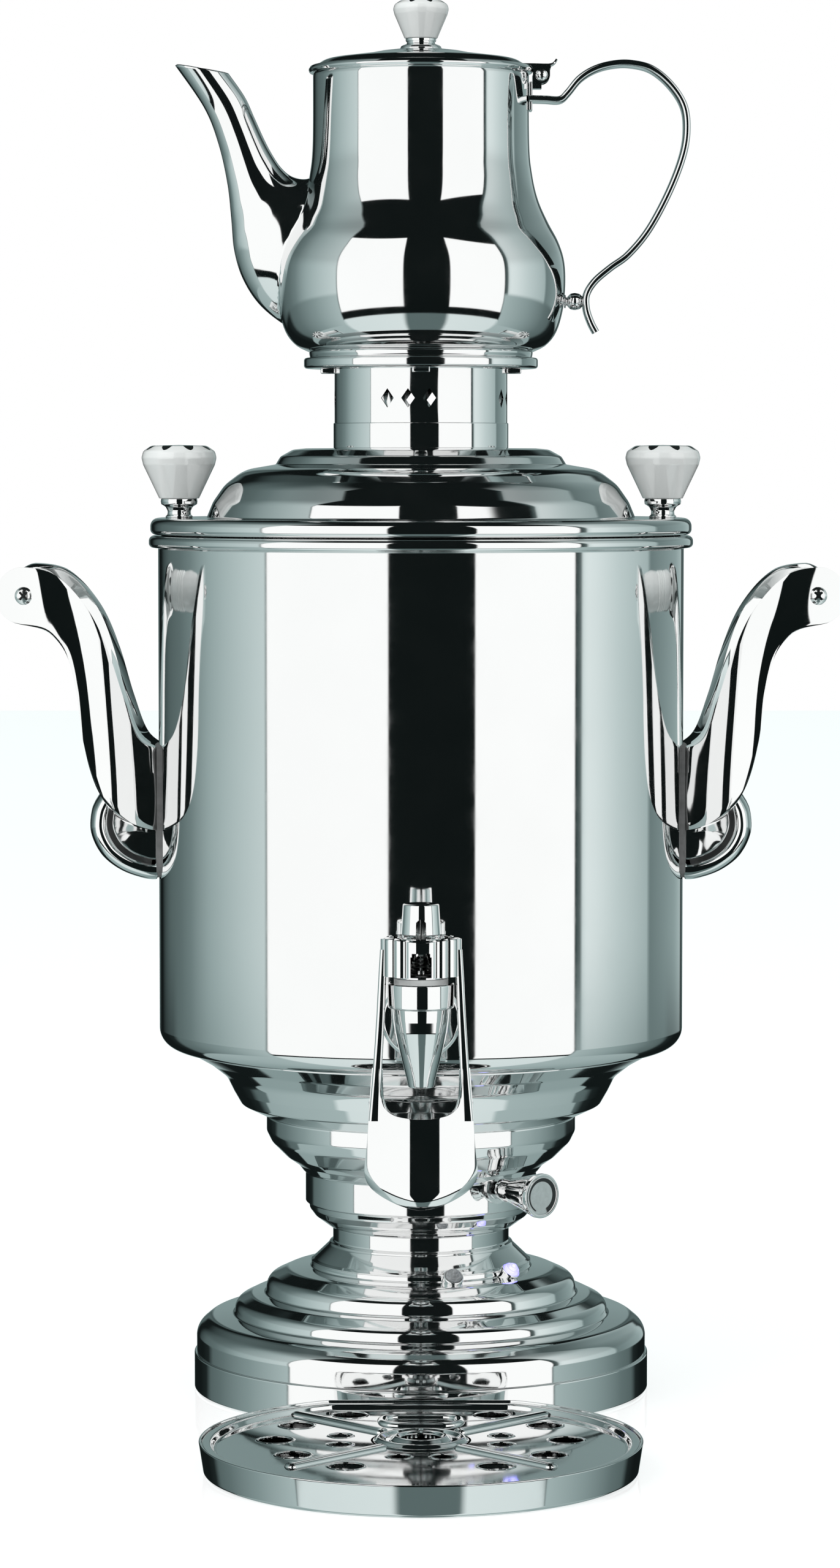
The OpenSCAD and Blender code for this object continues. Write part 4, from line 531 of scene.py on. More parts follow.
def make_looks(looks):
    """All the finishes, by the name of their material slot."""
    steel = tuple(looks.steel_colour)
    plated = tuple(looks.plated_colour)
    white = tuple(looks.glaze_colour)
    smooth = looks.polish_roughness
    LOOKS.update({
        "polished_steel": metal("polished steel", steel, smooth, smooth + 0.035),
        "plated_zinc": metal("chrome on cast zinc", plated, 0.6 * smooth, smooth + 0.02, bump=0.03),
        "plated_steel": metal("plated screws", plated, 0.12, 0.2),
        "heater_steel": metal("heater steel", (0.36, 0.34, 0.31, 1), 0.3, 0.5),
        "spring_steel": metal("spring steel", (0.55, 0.55, 0.53, 1), 0.2, 0.3),
        "spreader_aluminium": metal("spreader aluminium", (0.78, 0.78, 0.77, 1), 0.35, 0.5),
        "pin_brass": metal("nickel on brass", (0.72, 0.69, 0.62, 1), 0.15, 0.3),
        "grey_rubber": rubbery("grey rubber", (0.16, 0.165, 0.165, 1), (0.21, 0.215, 0.215, 1), 0.5),
        "white_silicone": rubbery("white silicone", (0.84, 0.88, 0.87, 1), (0.92, 0.95, 0.94, 1), 0.35),
        "black_plastic": rubbery("black plastic", (0.012, 0.013, 0.014, 1), (0.03, 0.03, 0.032, 1), 0.35),
        "pale_insulator": rubbery("pale insulator", (0.7, 0.66, 0.56, 1), (0.8, 0.77, 0.68, 1), 0.4),
        "white_glaze": glaze("petal glaze", white, petals=8, start=0.67, end=0.95, fill=0.3),
        "grip_glaze": glaze("sprig glaze", white, petals=6, start=0.11, end=0.19, fill=0.3),
        "blue_lens": lamp_look("blue lamp", (0.25, 0.28, 1, 1), (0.1, 0.06, 1, 1), looks.lamp_strength),
        "clear_lens": lamp_look("clear lamp", (0.72, 0.76, 0.78, 1), WHITE, 0),
        "dial_paint": dial_look("dial", KNOB_AZ, KNOB_Z, KNOB_RHO + KNOB_LENGTH),
    })


# ---------- base, waist and housing ----------

def build_base():
    """The base ring, and the stepped shell with its two beads."""
    seam = low("base_shell").z
    shell_r = high("base_shell").x
    ring_r = high("base_ring").x
    gap = low("base_ring").z
    spun("base_band", [
        (ring_r, gap, 0.6), (ring_r, seam, 0.7), (shell_r - 1, seam), (shell_r - 1, seam - 1.2),
        (ring_r - 1.6, seam - 1.2), (ring_r - 1.6, gap),
    ], "polished_steel", "stand", "base_ring", closed=True)
    wall = seam + 11.1
    lower = seam + 17.6
    upper = seam + 27.2
    shoulder = seam + 39.3
    waist = low("waist_collar").z
    waist_r = high("waist_collar").x
    spun("stepped_base", [
        (shell_r, seam), (shell_r, wall, 8), (shell_r - 6.4, wall + 5.3, 6), (shell_r - 17.4, lower, 1.2),
        (shell_r - 18.1, lower + 5.2, 5), (shell_r - 25.4, upper - 0.8, 5), (shell_r - 31.8, upper, 1.2),
        (shell_r - 32.8, upper + 6.7, 9), (shell_r - 42.4, shoulder - 1, 9), (waist_r, shoulder, 0.8),
        (waist_r, waist, 0.4), (waist_r - 6, waist),
    ], "polished_steel", "stand", "base_shell", wall=sheet(), step=5)


def build_waist():
    """The flared waist between base and housing."""
    foot = low("waist_collar").z
    top = high("waist_collar").z
    foot_r = high("waist_collar").x
    neck = foot + 9.5
    spun("waist", [
        (foot_r, foot), (foot_r, foot + 0.4, 0.3), (foot_r - 1.4, foot + 1.4, 1.0), (42.4, neck - 1.7, 1.6),
        (42, neck - 0.7, 0.6), (40.5, neck, 0.9), (40.5, top),
    ], "polished_steel", "stand", "waist_collar", wall=sheet(), step=8)


def build_housing():
    """The control housing with its cup, and the skirt that carries the tank."""
    foot = low("control_housing").z
    band = foot + 11.5
    band_top = band + 14
    cup = band_top + 18.5
    top = high("control_housing").z
    cup_r = high("control_housing").x
    band_r = 53.1
    spun("control_drum", [
        (34.5, foot), (42, foot + 0.3, 1.2), (band_r - 4.3, foot + 5.3, 3), (band_r - 1.9, foot + 8.6, 2),
        (band_r - 1.5, band - 0.3, 0.5), (band_r, band + 0.2, 0.6), (band_r, band_top, 1),
        (band_r + 1.3, band_top + 0.8, 0.8), (band_r + 3.4, band_top + 3.6, 1.4),
        (cup_r - 9, band_top + 7.4, 5), (cup_r - 2.3, band_top + 14.1, 6), (cup_r, cup + 0.4, 3),
        (cup_r, top, 0.9), (cup_r - 10, top),
    ], "polished_steel", "stand", "control_housing", wall=sheet(), step=8)
    skirt = low("bowl_skirt").z
    floor = high("bowl_skirt").z
    rise = floor - skirt
    bowl_r = 85.5
    spun("bowl_skirt_shell", [
        (cup_r - 10, skirt), (cup_r + 0.6, skirt, 1.2), (bowl_r - 2.8, skirt + 0.17 * rise, 2.6),
        (bowl_r + 0.6, skirt + 0.36 * rise, 3), (bowl_r + 4, skirt + 0.58 * rise, 9),
        (bowl_r + 12, skirt + 0.78 * rise, 12), (high("bowl_skirt").x, floor - 1, 0.4),
        (high("bowl_skirt").x, floor),
    ], "polished_steel", "stand", "bowl_skirt", wall=sheet(), step=6)


# ---------- tank ----------

TANK_WALL = 0.9


def build_tank():
    """The tank with its rolled rim."""
    bead_r = high("tank_shell").x
    spun("tank", [
        (0, TANK_FLOOR), (TANK_R, TANK_FLOOR, 9), (TANK_R, TANK_RIM - 5.6, 0.5),
        (bead_r, TANK_RIM - 5.6, 2.7), (bead_r, TANK_RIM, 2.7), (TANK_R - 1, TANK_RIM),
    ], "polished_steel", "stand", "tank_shell", wall=TANK_WALL, step=6)


# ---------- side handles ----------

# Outlines of the left handle's casting, as (reach from the tank, height above the pads' foot);
# the plan gives the arms' half width at each reach.
EYE_R = 12.9
ROOT_GAP = 1.2
ARM_WALL = 4.6
ARM_CROWN = 1.1
CURL_MIDDLE = Vector((0, 27))
CURL_STEPS = 56
EYE = Vector((GRIP_X - TANK_R, GRIP_Z - PAD_LOW))
ARM_LOWER = [
    (-6, 21), (4.7, 23.4), (15.4, 29.9), (25.4, 43.2), (31.5, 63), (34.5, 86), (38.5, 102), (44, 110.4),
    (50, 114.6),
]
ARM_UPPER = [
    (-6, 58), (5.9, 64.4), (13.3, 81.3), (19.8, 102.1), (26.7, 118.8), (35.1, 130.9), (43.5, 138.6),
    (50.5, 141.4),
]
ARM_PLAN = [
    (-6, 12), (0, 18.5), (5, 25.5), (12, 34.4), (20, 40.8), (30, 44.9), (39, 46.7), (48, 47.1), (55, 46.5),
    (63, 45.1), (71, 43.7),
]
CURL_OUTLINE = [
    (-1, -1.5), (6, -1.2), (17, 2.6), (26, 9.5), (31, 19), (31.4, 27.5), (29, 35), (22, 41), (-1, 43),
]


def eye_arc(start, end, steps=6):
    """Points on the round end of an arm from one angle to another, in degrees."""
    angles = [math.radians(start + (end - start) * i / steps) for i in range(steps + 1)]
    return [tuple(EYE + EYE_R * Vector((math.cos(a), math.sin(a)))) for a in angles]


def build_handle(side):
    """One cast handle: two arms with round eyes, and the curl below."""
    name = "left" if side < 0 else "right"
    count = 72
    lower = smooth_line(ARM_LOWER + eye_arc(-78, 0), count)
    upper = smooth_line(ARM_UPPER + eye_arc(84, 0), count)
    plan = smooth_line(ARM_PLAN, 60)
    root = TANK_R + ROOT_GAP

    def arm(u, v):
        i = round(v * count)
        point = lower[i].lerp(upper[i], u)
        crown = ARM_CROWN * (1 - (2 * u - 1) ** 2) * eased((count - i) / 20)
        out = height_of(plan, point.x) + crown - ARM_CROWN
        reach = max(point.x, math.sqrt(root ** 2 - out ** 2) - TANK_R)
        return side * (TANK_R + reach), -out, PAD_LOW + point.y

    front = facing(shaped_grid(16, count, arm), FORWARDS)
    back = front.copy()
    bmesh.ops.scale(back, vec=(1, -1, 1), verts=back.verts)
    bmesh.ops.reverse_faces(back, faces=back.faces)
    node = "handle_" + name
    finish("handle_arms_" + name, joined(front, back), "plated_zinc", "stand", node, wall=ARM_WALL,
           edge=1.5)
    curl = shaped_grid(40, CURL_STEPS, curl_place(side))
    finish("handle_curl_" + name, curl, "plated_zinc", "stand", node, sharp=60)


# Half width of the curl at each share of the way from its middle to its outline.
CURL_SECTION = [
    (0.0, 9.5), (0.5, 9.5), (0.64, 10.4), (0.70, 13.5), (0.77, 16.4), (0.85, 17.2), (0.93, 14.6), (0.98, 9.0),
    (1.0, 0.0),
]


def curl_place(side):
    """Place of a point of the curl: u runs over its rim from front to back, v along its outline."""
    outline = smooth_line(CURL_OUTLINE, 60)
    section = smooth_line(CURL_SECTION, 40)
    root = TANK_R + ROOT_GAP

    def place(u, v):
        share, depth = section[round((1 - abs(2 * u - 1)) * 40)]
        edge = outline[round(v * 60)]
        point = CURL_MIDDLE + (edge - CURL_MIDDLE) * share
        reach = max(point.x, math.sqrt(root ** 2 - depth ** 2) - TANK_R)
        return side * (TANK_R + reach), (1 if u > 0.5 else -1) * depth, PAD_LOW + point.y

    return place


# ---------- grips ----------

def wrap_round(bm, line):
    """Gives a turned mesh a UV map: u round its axis, v along its outline from 0 to 1."""
    layer = bm.loops.layers.uv.new("Round")
    lengths = [0.0]
    for a, b in zip(line, line[1:]):
        lengths.append(lengths[-1] + (b - a).length)
    shares = {}
    for vert in bm.verts:
        at = Vector((vert.co.xy.length / MM, vert.co.z / MM))
        nearest = min(range(len(line)), key=lambda i: (line[i] - at).length)
        shares[vert] = lengths[nearest] / lengths[-1]
    for face in bm.faces:
        turns = [math.atan2(loop.vert.co.y, loop.vert.co.x) / (2 * math.pi) for loop in face.loops]
        centre = face.calc_center_median()
        middle = math.atan2(centre.y, centre.x) / (2 * math.pi)
        for loop, share in zip(face.loops, turns):
            if loop.vert.co.xy.length < 0.01 * MM:
                share = middle
            share += round(middle - share)
            loop[layer].uv = (share, shares[loop.vert])


GRIP_R = 9.5
RING_H = 1.25
RING_W = 4.6


def build_grips():
    """The two ceramic grips, each with three rings round its middle."""
    half = (high("handle_grip_left").y - low("handle_grip_left").y) / 2
    rings = sizes().ring_height / MM
    r = GRIP_R
    half_line = [
        (r - 0.95, 7.6, 1), (r + 0.1, 10, 2), (r + 0.55, half / 2, 24), (r - 0.6, half - 11, 8),
        (r - 1.5, half - 7, 3), (r + 0.7, half - 3, 1.6), (r, half, 1.4), (3.4, half),
    ]
    mirrored = [(c[0], -c[1], *c[2:]) for c in reversed(half_line)]
    plain = rounded(mirrored + half_line, 8)
    fine = []
    for a, b in zip(plain, plain[1:]):
        pieces = max(1, round((b - a).length / 0.5)) if abs(a.y) < 8 and abs(b.y) < 8 else 1
        fine += [a.lerp(b, i / pieces) for i in range(pieces)]
    fine.append(plain[-1])
    line = [Vector((p.x + rings * ring_swell(p.y), p.y)) for p in fine]
    for name, x in (("left", -GRIP_X), ("right", GRIP_X)):
        bm = spin_line(line, 96)
        wrap_round(bm, line)
        moved(bm, turn(90, "X"), shift(x, 0, GRIP_Z))
        finish("ceramic_grip_" + name, bm, "white_glaze", "stand", "handle_grip_" + name, look="grip_glaze")


def ring_swell(y):
    """Share of a ring's height at a distance y from a grip's middle; there are three rings."""
    if abs(y) > 1.5 * RING_W:
        return 0.0
    half = RING_W / 2
    return math.sqrt(max(0.0, 1 - ((y + half) % RING_W / half - 1) ** 2))


# ---------- tap ----------

def build_tap():
    """The tap's barrel with its shank and wall flange, the lift cap and the neck between them."""
    nozzle = low("tap_body").z
    ring_low = TAP_Z + 9.2
    ring_top = high("tap_body").z
    barrel = spin_line(rounded([
        (4, nozzle + 3), (4, nozzle), (5.4, nozzle, 0.8), (6.0, nozzle + 3, 6), (11.4, nozzle + 24, 60),
        (12.3, ring_low, 0.4), (14.2, ring_low, 0.8), (14.2, ring_top, 0.8), (9, ring_top),
    ], 6), 128)
    moved(barrel, shift(0, TAP_Y, 0))
    flange = spin_line(rounded([
        (8, 32), (8, 5.2, 1.2), (10.5, 5, 1), (16.2, 4.5, 1), (17.5, 3.2, 0.8), (17.5, 1.6),
    ], 8), 96)
    moved(flange, outward(0, TAP_Z, TANK_R))
    finish("tap_barrel", joined(barrel, flange), "plated_zinc", "stand", "tap_body")
    cap_low = low("valve_cap").z
    cap_high = high("valve_cap").z
    cap = spin_line(finer(rounded([
        (0, cap_high - 3), (5.4, cap_high - 3, 1), (7.0, cap_low, 0.3), (8.6, cap_low, 0.4),
        (8.3, cap_low + 4, 3), (7.7, cap_high, 0.9), (5, cap_high, 0.3), (4.2, cap_high - 0.3, 0.3),
        (0, cap_high - 0.3),
    ], 10), 0.4), 144)
    moved(cap, shift(0, TAP_Y, 0))
    open_front(cap, cap_low, 2.2, 7)
    finish("lift_cap", cap, "plated_zinc", "valve", "valve_cap")
    foot = low("tap_bonnet").z
    head = high("tap_bonnet").z
    bonnet = spin_line(finer(rounded([
        (6.2, foot + 1.5), (9.6, foot + 1.5), (9.6, head - 1.4, 0.8), (4.6, head - 1.4), (4.6, head, 0.2),
        (9.8, head, 0.8), (10.8, head - 1.5, 0.6), (10.8, foot, 0.3), (6.2, foot),
    ], 10, closed=True), 0.4), 144, closed=True)
    moved(bonnet, shift(0, TAP_Y, 0))
    open_front(bonnet, foot + 1.6, 4.4, 9.5)
    finish("tap_neck", bonnet, "plated_zinc", "stand", "tap_bonnet")


def open_front(bm, foot, half, height):
    """Opens an arched window in the front of a turned piece of the tap, from `foot` upwards."""
    faces = []
    for face in bm.faces:
        point = face.calc_center_median() / MM
        in_reach = abs(point.x) < half and point.y < TAP_Y - half
        if in_reach and foot - 0.5 < point.z < foot + height - 0.25 * point.x ** 2:
            faces.append(face)
    bmesh.ops.delete(bm, geom=faces, context="FACES")


# Down each arm: depth below the pivot, way forward, inner and outer half width, half thickness.
LEVER_STATIONS = [
    (-6, 0, 14.4, 17.6, 5), (8, 0.5, 14.8, 18.4, 5.2), (24, 3.5, 15.4, 19.2, 4.6),
    (42, 7, 16.4, 20.3, 3.2), (54, 10.2, 17.0, 21.2, 2.6), (66, 13.6, 17.4, 22.2, 1.9),
]
HOOD_R = 17.4
HOOD_BORE = 13.4
HOOD_FLUTES = (-140, -108, -72, -47, -25, 25, 47, 72, 108, 140)
# The paddle: depth of its top below the pivot, its way forward there, slope in degrees and bow.
PADDLE_TOP = 58
PADDLE_FORWARD = 17.9
PADDLE_SLOPE = 13
PADDLE_WALL = 3.4
BOW_R = 40.0


def paddle_front(depth):
    """Forward offset of the paddle's face at its middle, at a depth below the pivot."""
    return PADDLE_FORWARD + (depth - PADDLE_TOP) * math.tan(math.radians(PADDLE_SLOPE))


def build_lever():
    """The lever: fluted hood with a window, two arms and a paddle with a rounded lip."""
    hood = hood_shell(PIVOT_Z - 5.2, high("tap_lever").z)
    arms = []
    stations = [Vector((*s, 0)) for s in LEVER_STATIONS]
    for side in (-1, 1):
        def arm(u, v, side=side):
            depth, forward, inner, outer, half, _ = curve_at(stations, v)
            a = 2 * math.pi * u
            c, s = math.cos(a), math.sin(a)
            c = math.copysign(abs(c) ** 0.45, c)
            s = math.copysign(abs(s) ** 0.45, s)
            x = side * ((inner + outer) / 2 + (outer - inner) / 2 * c)
            return x, TAP_Y - forward + half * s, PIVOT_Z - depth

        tube = shaped_grid(32, 40, arm)
        close_ends(tube)
        arms.append(tube)
    finish("lever_hood_and_arms", joined(hood, *arms), "plated_zinc", "lever", "tap_lever", sharp=50)
    finish("lever_paddle", paddle(), "plated_zinc", "lever", "tap_lever", wall=PADDLE_WALL, edge=1.3)


def hood_shell(base, top):
    """Ring of the hood with flutes round its outside and an arched window in front."""
    lip = 1.2

    def place(u, v):
        a = 2 * math.pi * u
        degrees = (math.degrees(a) + 180) % 360 - 180
        near = min(abs(degrees - f) for f in HOOD_FLUTES)
        outer = HOOD_R - 1.6 * (1 - min(near, 11) / 11) ** 2
        lobe = -1.2 * math.cos(math.radians(1.64 * min(abs(degrees), 110))) ** 2
        rise = top + lobe * eased((v - 0.32) * 6) * eased((0.62 - v) * 6)
        # The section runs up the outside, over the top and down the bore.
        if v < 0.4:
            r = outer
            z = base + (rise - lip - base) * v / 0.4
        elif v < 0.6:
            over = (v - 0.4) / 0.2
            r = outer - lip * (1 - math.cos(over * math.pi / 2)) - 2.6 * over ** 2
            z = rise - lip + lip * math.sin(over * math.pi / 2) - 0.6 * over ** 2
        else:
            r = HOOD_BORE
            z = rise - 0.6 - (rise - 0.6 - base) * (v - 0.6) / 0.4
        return r * math.sin(a), TAP_Y - r * math.cos(a), z

    bm = shaped_grid(360, 26, place)
    window = [f for f in bm.faces if in_window(f.calc_center_median() / MM, base)]
    bmesh.ops.delete(bm, geom=window, context="FACES")
    bmesh.ops.recalc_face_normals(bm, faces=bm.faces)
    return bm


def in_window(point, base):
    """True inside the arched window of the hood's front."""
    if point.y > TAP_Y:
        return False
    return abs(point.x) < 4.6 and point.z < base + 10.6 - 1.6 * max(0.0, abs(point.x) - 3.2) ** 2


def paddle():
    """Sheet of the paddle, as a band that runs down one side, round the foot and up the other."""
    inner = [(-17.7, 44), (-17.4, 54), (-16.7, 57.5), (-15.3, 60.6), (-11.7, 63.2), (-6, 64.4), (0, 64.8)]
    outer = [(-20.9, 44), (-21.9, 58), (-23.0, 76), (-23.7, 90), (-16.5, 97.5), (0, 102.6)]
    inner = inner + [(-x, z) for x, z in reversed(inner[:-1])]
    outer = outer + [(-x, z) for x, z in reversed(outer[:-1])]
    count = 96
    inner = smooth_line(inner, count)
    outer = smooth_line(outer, count)

    def place(u, v):
        i = round(v * count)
        point = inner[i].lerp(outer[i], u)
        back = BOW_R - math.sqrt(BOW_R ** 2 - point.x ** 2)
        lip = 2.4 * max(0.0, (u - 0.86) / 0.14) ** 1.5 * eased((point.y - 86) / 10)
        return point.x, TAP_Y - paddle_front(point.y) + back + lip, PIVOT_Z - point.y

    return facing(shaped_grid(48, count, place), FORWARDS)


# ---------- thermostat knob and lamps ----------

# Direction from the front in degrees, height and distance from the axis of the knob's foot.
KNOB_AZ = 40.0
KNOB_Z = 98.0
KNOB_RHO = 57.6
KNOB_LENGTH = 27.0
FLUTES = 10
FLUTE_DEPTH = 0.075


def build_knob():
    """The fluted control knob and its dial."""
    line = rounded([
        (3, 0), (5.0, 0, 0.6), (5.6, 3, 3), (5.9, 8, 10), (9.2, 21.5, 10), (9.6, 24, 2), (10, 25, 0.8),
        (10, KNOB_LENGTH, 0.5), (9.1, KNOB_LENGTH, 0.1), (8.9, 26.4, 0.1), (3, 26.4),
    ], 8)
    bm = spin_line(line, 180)
    for vert in bm.verts:
        height = vert.co.z / MM
        fluted = eased((height - 7) / 6) * eased((24.6 - height) / 2)
        a = math.atan2(vert.co.y, vert.co.x)
        vert.co.xy *= 1 - sizes().flute_depth * fluted * (1 - abs(math.sin(FLUTES / 2 * a)) ** 0.7)
    at = outward(KNOB_AZ, KNOB_Z, KNOB_RHO)
    moved(bm, at)
    finish("control_knob", bm, "plated_zinc", "thermostat_control", "thermostat_knob")
    spun("control_dial", [(0, 26.7), (8.3, 26.7, 0.3), (8.8, 26.3)], "dial_paint", "thermostat_control",
         "knob_dial", segments=96, place=at)


# The lamps: name, node, material slot and direction from the front in degrees.
LAMPS = (
    ("power_lens", "power_lamp_lens", "blue_lens", 48.8),
    ("heat_lens", "heat_lamp_lens", "clear_lens", 15.7),
)
LAMP_RHO = 53.5
LAMP_Z = 58.4
LAMP_TILT = 52.0


def build_lamps():
    """The two lamp lenses with their bezels."""
    bezels = []
    for name, node, slot, az in LAMPS:
        at = turn(az, "Z") @ shift(0, -LAMP_RHO, LAMP_Z) @ turn(90 - LAMP_TILT, "X")
        spun(name, [
            (3.7, -6), (3.7, 2.2, 0.3), (3.1, 3.4, 0.4), (2.5, 3.1, 0.2), (1.9, 4.5, 0.5), (1.3, 4.3, 0.2),
            (0.8, 5.3, 0.4), (0, 5.4),
        ], slot, "stand", node, segments=64, place=at)
        bezel = spin_line(rounded([
            (4.6, -6), (4.6, 1.2, 0.3), (4.3, 1.8, 0.4), (3.9, 1.5, 0.2), (3.72, 0.8),
        ], 15), 64)
        bezels.append(moved(bezel, at))
    finish("lamp_rings", joined(*bezels), "plated_zinc", "stand", "lamp_bezels")


# ---------- lid ----------

def build_lid():
    """The lid's dome with its rolled edge and step, and the collar on top."""
    edge_r = high("lid_dome").x
    top = high("lid_dome").z
    dome = top - 7.3
    plug_r = TANK_R - 1.6
    foot_r = 97.5
    step_r = 65.5
    rise = dome - BRIM
    spun("lid_shell", [
        (plug_r, low("lid_dome").z), (plug_r, TANK_RIM + 0.3, 0.3), (edge_r, TANK_RIM + 0.3, 3.7),
        (edge_r, BRIM, 3.7), (115, BRIM, 1.2), (foot_r + 0.4, BRIM, 1.2),
        (foot_r - 2.6, BRIM + 0.3 * rise, 12), (foot_r - 8, BRIM + 0.62 * rise, 16),
        (foot_r - 17, BRIM + 0.9 * rise, 18), (step_r + 0.8, dome, 0.8), (step_r - 1.4, dome + 3.6, 3),
        (step_r - 7, dome + 6.7, 5), (step_r - 13, top, 2), (35.9, top),
    ], "polished_steel", "lid", "lid_dome", wall=sheet(), step=5)
    r = high("lid_collar").x
    spun("lid_neck", [
        (r - 1, top), (r, top, 0.3), (r, high("lid_collar").z, 0.4), (r - 1, high("lid_collar").z),
    ], "polished_steel", "lid", "lid_collar", closed=True)


def knob_outline(d, foot, h):
    """Outline of a ceramic knob that stands on z = 0."""
    r = d / 2
    return rounded([
        (0, 0), (foot, 0, 0.6), (0.96 * r, h * 0.63, 3), (r, h * 0.76, 2.5), (0.96 * r, h * 0.88, 2.5),
        (0.74 * r, h * 0.985, 4), (0, h),
    ], 6)


def ceramic_knob(name, d, foot, h, place, body, node):
    """A ceramic knob of a diameter, foot radius and height, on a body in place of its node."""
    line = knob_outline(d, foot, h)
    bm = spin_line(line, 96)
    wrap_round(bm, line)
    moved(bm, place)
    finish(name, bm, "white_glaze", body, node, sharp=60)


# Ceramic knobs: diameter and radius of the foot.
LID_KNOB_D = 34.2
LID_KNOB_FOOT = 9.1
POT_KNOB_D = 25.2
POT_KNOB_FOOT = 7.4


def build_lid_knobs():
    """The lid's two ceramic knobs on their turned necks."""
    foot = BRIM + 8.8
    necks = []
    height = high("lid_knob_left").z - foot
    left = low("lid_knob_left").x + LID_KNOB_D / 2
    right = high("lid_knob_right").x - LID_KNOB_D / 2
    for name, x in (("left", left), ("right", right)):
        ceramic_knob("lid_ceramic_" + name, LID_KNOB_D, LID_KNOB_FOOT, height, shift(x, 0, foot), "lid",
                     "lid_knob_" + name)
        neck = spin_line(rounded([
            (0, BRIM), (6.2, BRIM, 0.3), (6.2, BRIM + 0.7, 0.3), (5.4, BRIM + 1.4, 0.8), (5.2, BRIM + 3, 2),
            (6.2, foot - 3.8, 2), (8.2, foot - 2.6, 0.5), (8.4, foot - 1.3, 0.5), (8.2, foot, 0.4), (0, foot),
        ], 10), 72)
        necks.append(moved(neck, shift(x, 0, 0)))
    finish("lid_knob_stems", joined(*necks), "plated_zinc", "lid", "lid_knob_necks")


# ---------- steam crown ----------

def build_stand():
    """The teapot stand with its rolled edge and clips."""
    floor = high("crown_sleeve").z
    r = high("teapot_stand").x
    top = high("teapot_stand").z
    inner = 35.0
    recess = 50.9
    plate = spin_line(rounded([
        (inner, floor + 0.6), (inner, floor, 0.3), (r - 3.6, floor, 0.6), (r - 2.8, floor - 0.3, 0.4),
        (r, floor - 0.3, 2.2), (r, top - 0.4, 2.2), (r - 2.6, top - 0.4, 0.4), (recess, top - 0.5, 0.3),
        (recess, POT_Z, 0.3), (inner, POT_Z, 0.3),
    ], 8, closed=True), sizes().segments, closed=True)
    clip_r = 42.4
    clip_h = 2.6
    clips = []
    for a in (0, 90, 180, 270):
        clips.append(block((6.5, 8, clip_h), turn(a, "Z") @ shift(clip_r, 0, floor - clip_h / 2)))
    finish("pot_stand", joined(plate, *clips), "polished_steel", "crown", "teapot_stand")


# ---------- teapot ----------

# The pot's side as (radius, height above its foot).
POT_BELLY = [
    (50.9, 3.0), (56.8, 6), (61.6, 12), (64.6, 22), (65.7, 33), (65.2, 44), (62.4, 53), (57.6, 62),
    (53.2, 72), (50.6, 83), (49.2, 97), (NECK_R, 129),
]


def belly_line():
    """The pot's side from foot to rim, as (radius, height above its foot)."""
    return smooth_line(POT_BELLY, 64)


def pot_radius(line, height):
    """Radius of the teapot's outside at a height above its foot."""
    return height_of([Vector((p.y, p.x)) for p in line], height)


def build_teapot():
    """The teapot's body with its foot."""
    belly = belly_line()
    foot = rounded([
        (0, 1), (45.5, 1, 0.6), (46.5, 0, 0.4), (50.5, 0, 0.9), (50.9, 2.2, 0.5), belly[0][:],
    ], 10)
    height = POT_BELLY[-1][1]
    rim = [(NECK_R, height - 0.6), (NECK_R - 0.3, height), (NECK_R - SHEET, height)]
    bm = spin_line([(r, z + POT_Z) for r, z in foot + belly[1:-1] + rim], sizes().segments)
    finish("pot_body", bm, "polished_steel", "teapot", "teapot_body", wall=sheet())


# Outlines of the spout below and above as (x, height above the pot's foot), and its half width.
SPOUT_LOWER = [
    (-46, 8), (-60, 14), (-73, 24), (-81, 36), (-85, 49), (-86.3, 63), (-88, 79), (-92, 97), (-98.5, 113.5),
    (-111.6, 132.6),
]
SPOUT_UPPER = [
    (-40, 88), (-46, 84.5), (-52, 81.5), (-58.5, 82.5), (-63.5, 86.5), (-67.6, 92.5), (-71.3, 99.5),
    (-75.6, 109), (-80, 118.5), (-87.3, 129),
]
SPOUT_HALF = [15, 17, 16.6, 15, 12.8, 11, 9.8, 9, 8.8, 9.6]


def build_spout():
    """The teapot's curved spout, trimmed to the pot's wall."""
    belly = belly_line()
    below = [Vector(p) for p in SPOUT_LOWER]
    above = [Vector(p) for p in SPOUT_UPPER]
    half = [Vector((w, 0)) for w in SPOUT_HALF]

    def place(u, v):
        a, b, w = curve_at(below, v), curve_at(above, v), curve_at(half, v).x
        t = 2 * math.pi * u
        point = (a + b) / 2 + (a - b) / 2 * math.cos(t)
        x, y, z = point.x, w * math.sin(t), point.y
        wall = pot_radius(belly, z) - 0.4
        rho = math.hypot(x, y)
        if rho < wall:
            x, y = x * wall / rho, y * wall / rho
        return x, y, POT_Z + z

    bm = shaped_grid(64, 90, place)
    probe = min(bm.faces, key=lambda f: f.calc_center_median().x)
    if probe.normal.x > 0:
        bmesh.ops.reverse_faces(bm, faces=bm.faces)
    finish("pot_spout", bm, "polished_steel", "teapot", "teapot_spout", wall=0.9,
           sharp=70)


# Middle line of the strap handle as (x, height above the pot's foot).
STRAP_LINE = [
    (49.2, 117.4), (56, 117.2), (62.9, 117), (66.5, 120), (72, 126.5), (79, 130.8), (87.2, 133),
    (95.4, 133.2), (104.6, 130.8), (113, 124), (119.1, 114.8), (120.7, 104.6), (119.1, 92.4), (113, 76),
    (103.7, 58.6), (94.3, 47.2), (86.2, 41.2), (79, 35), (75.3, 28.8), (75.3, 22.5), (77.3, 16.4),
    (79.6, 12),
]


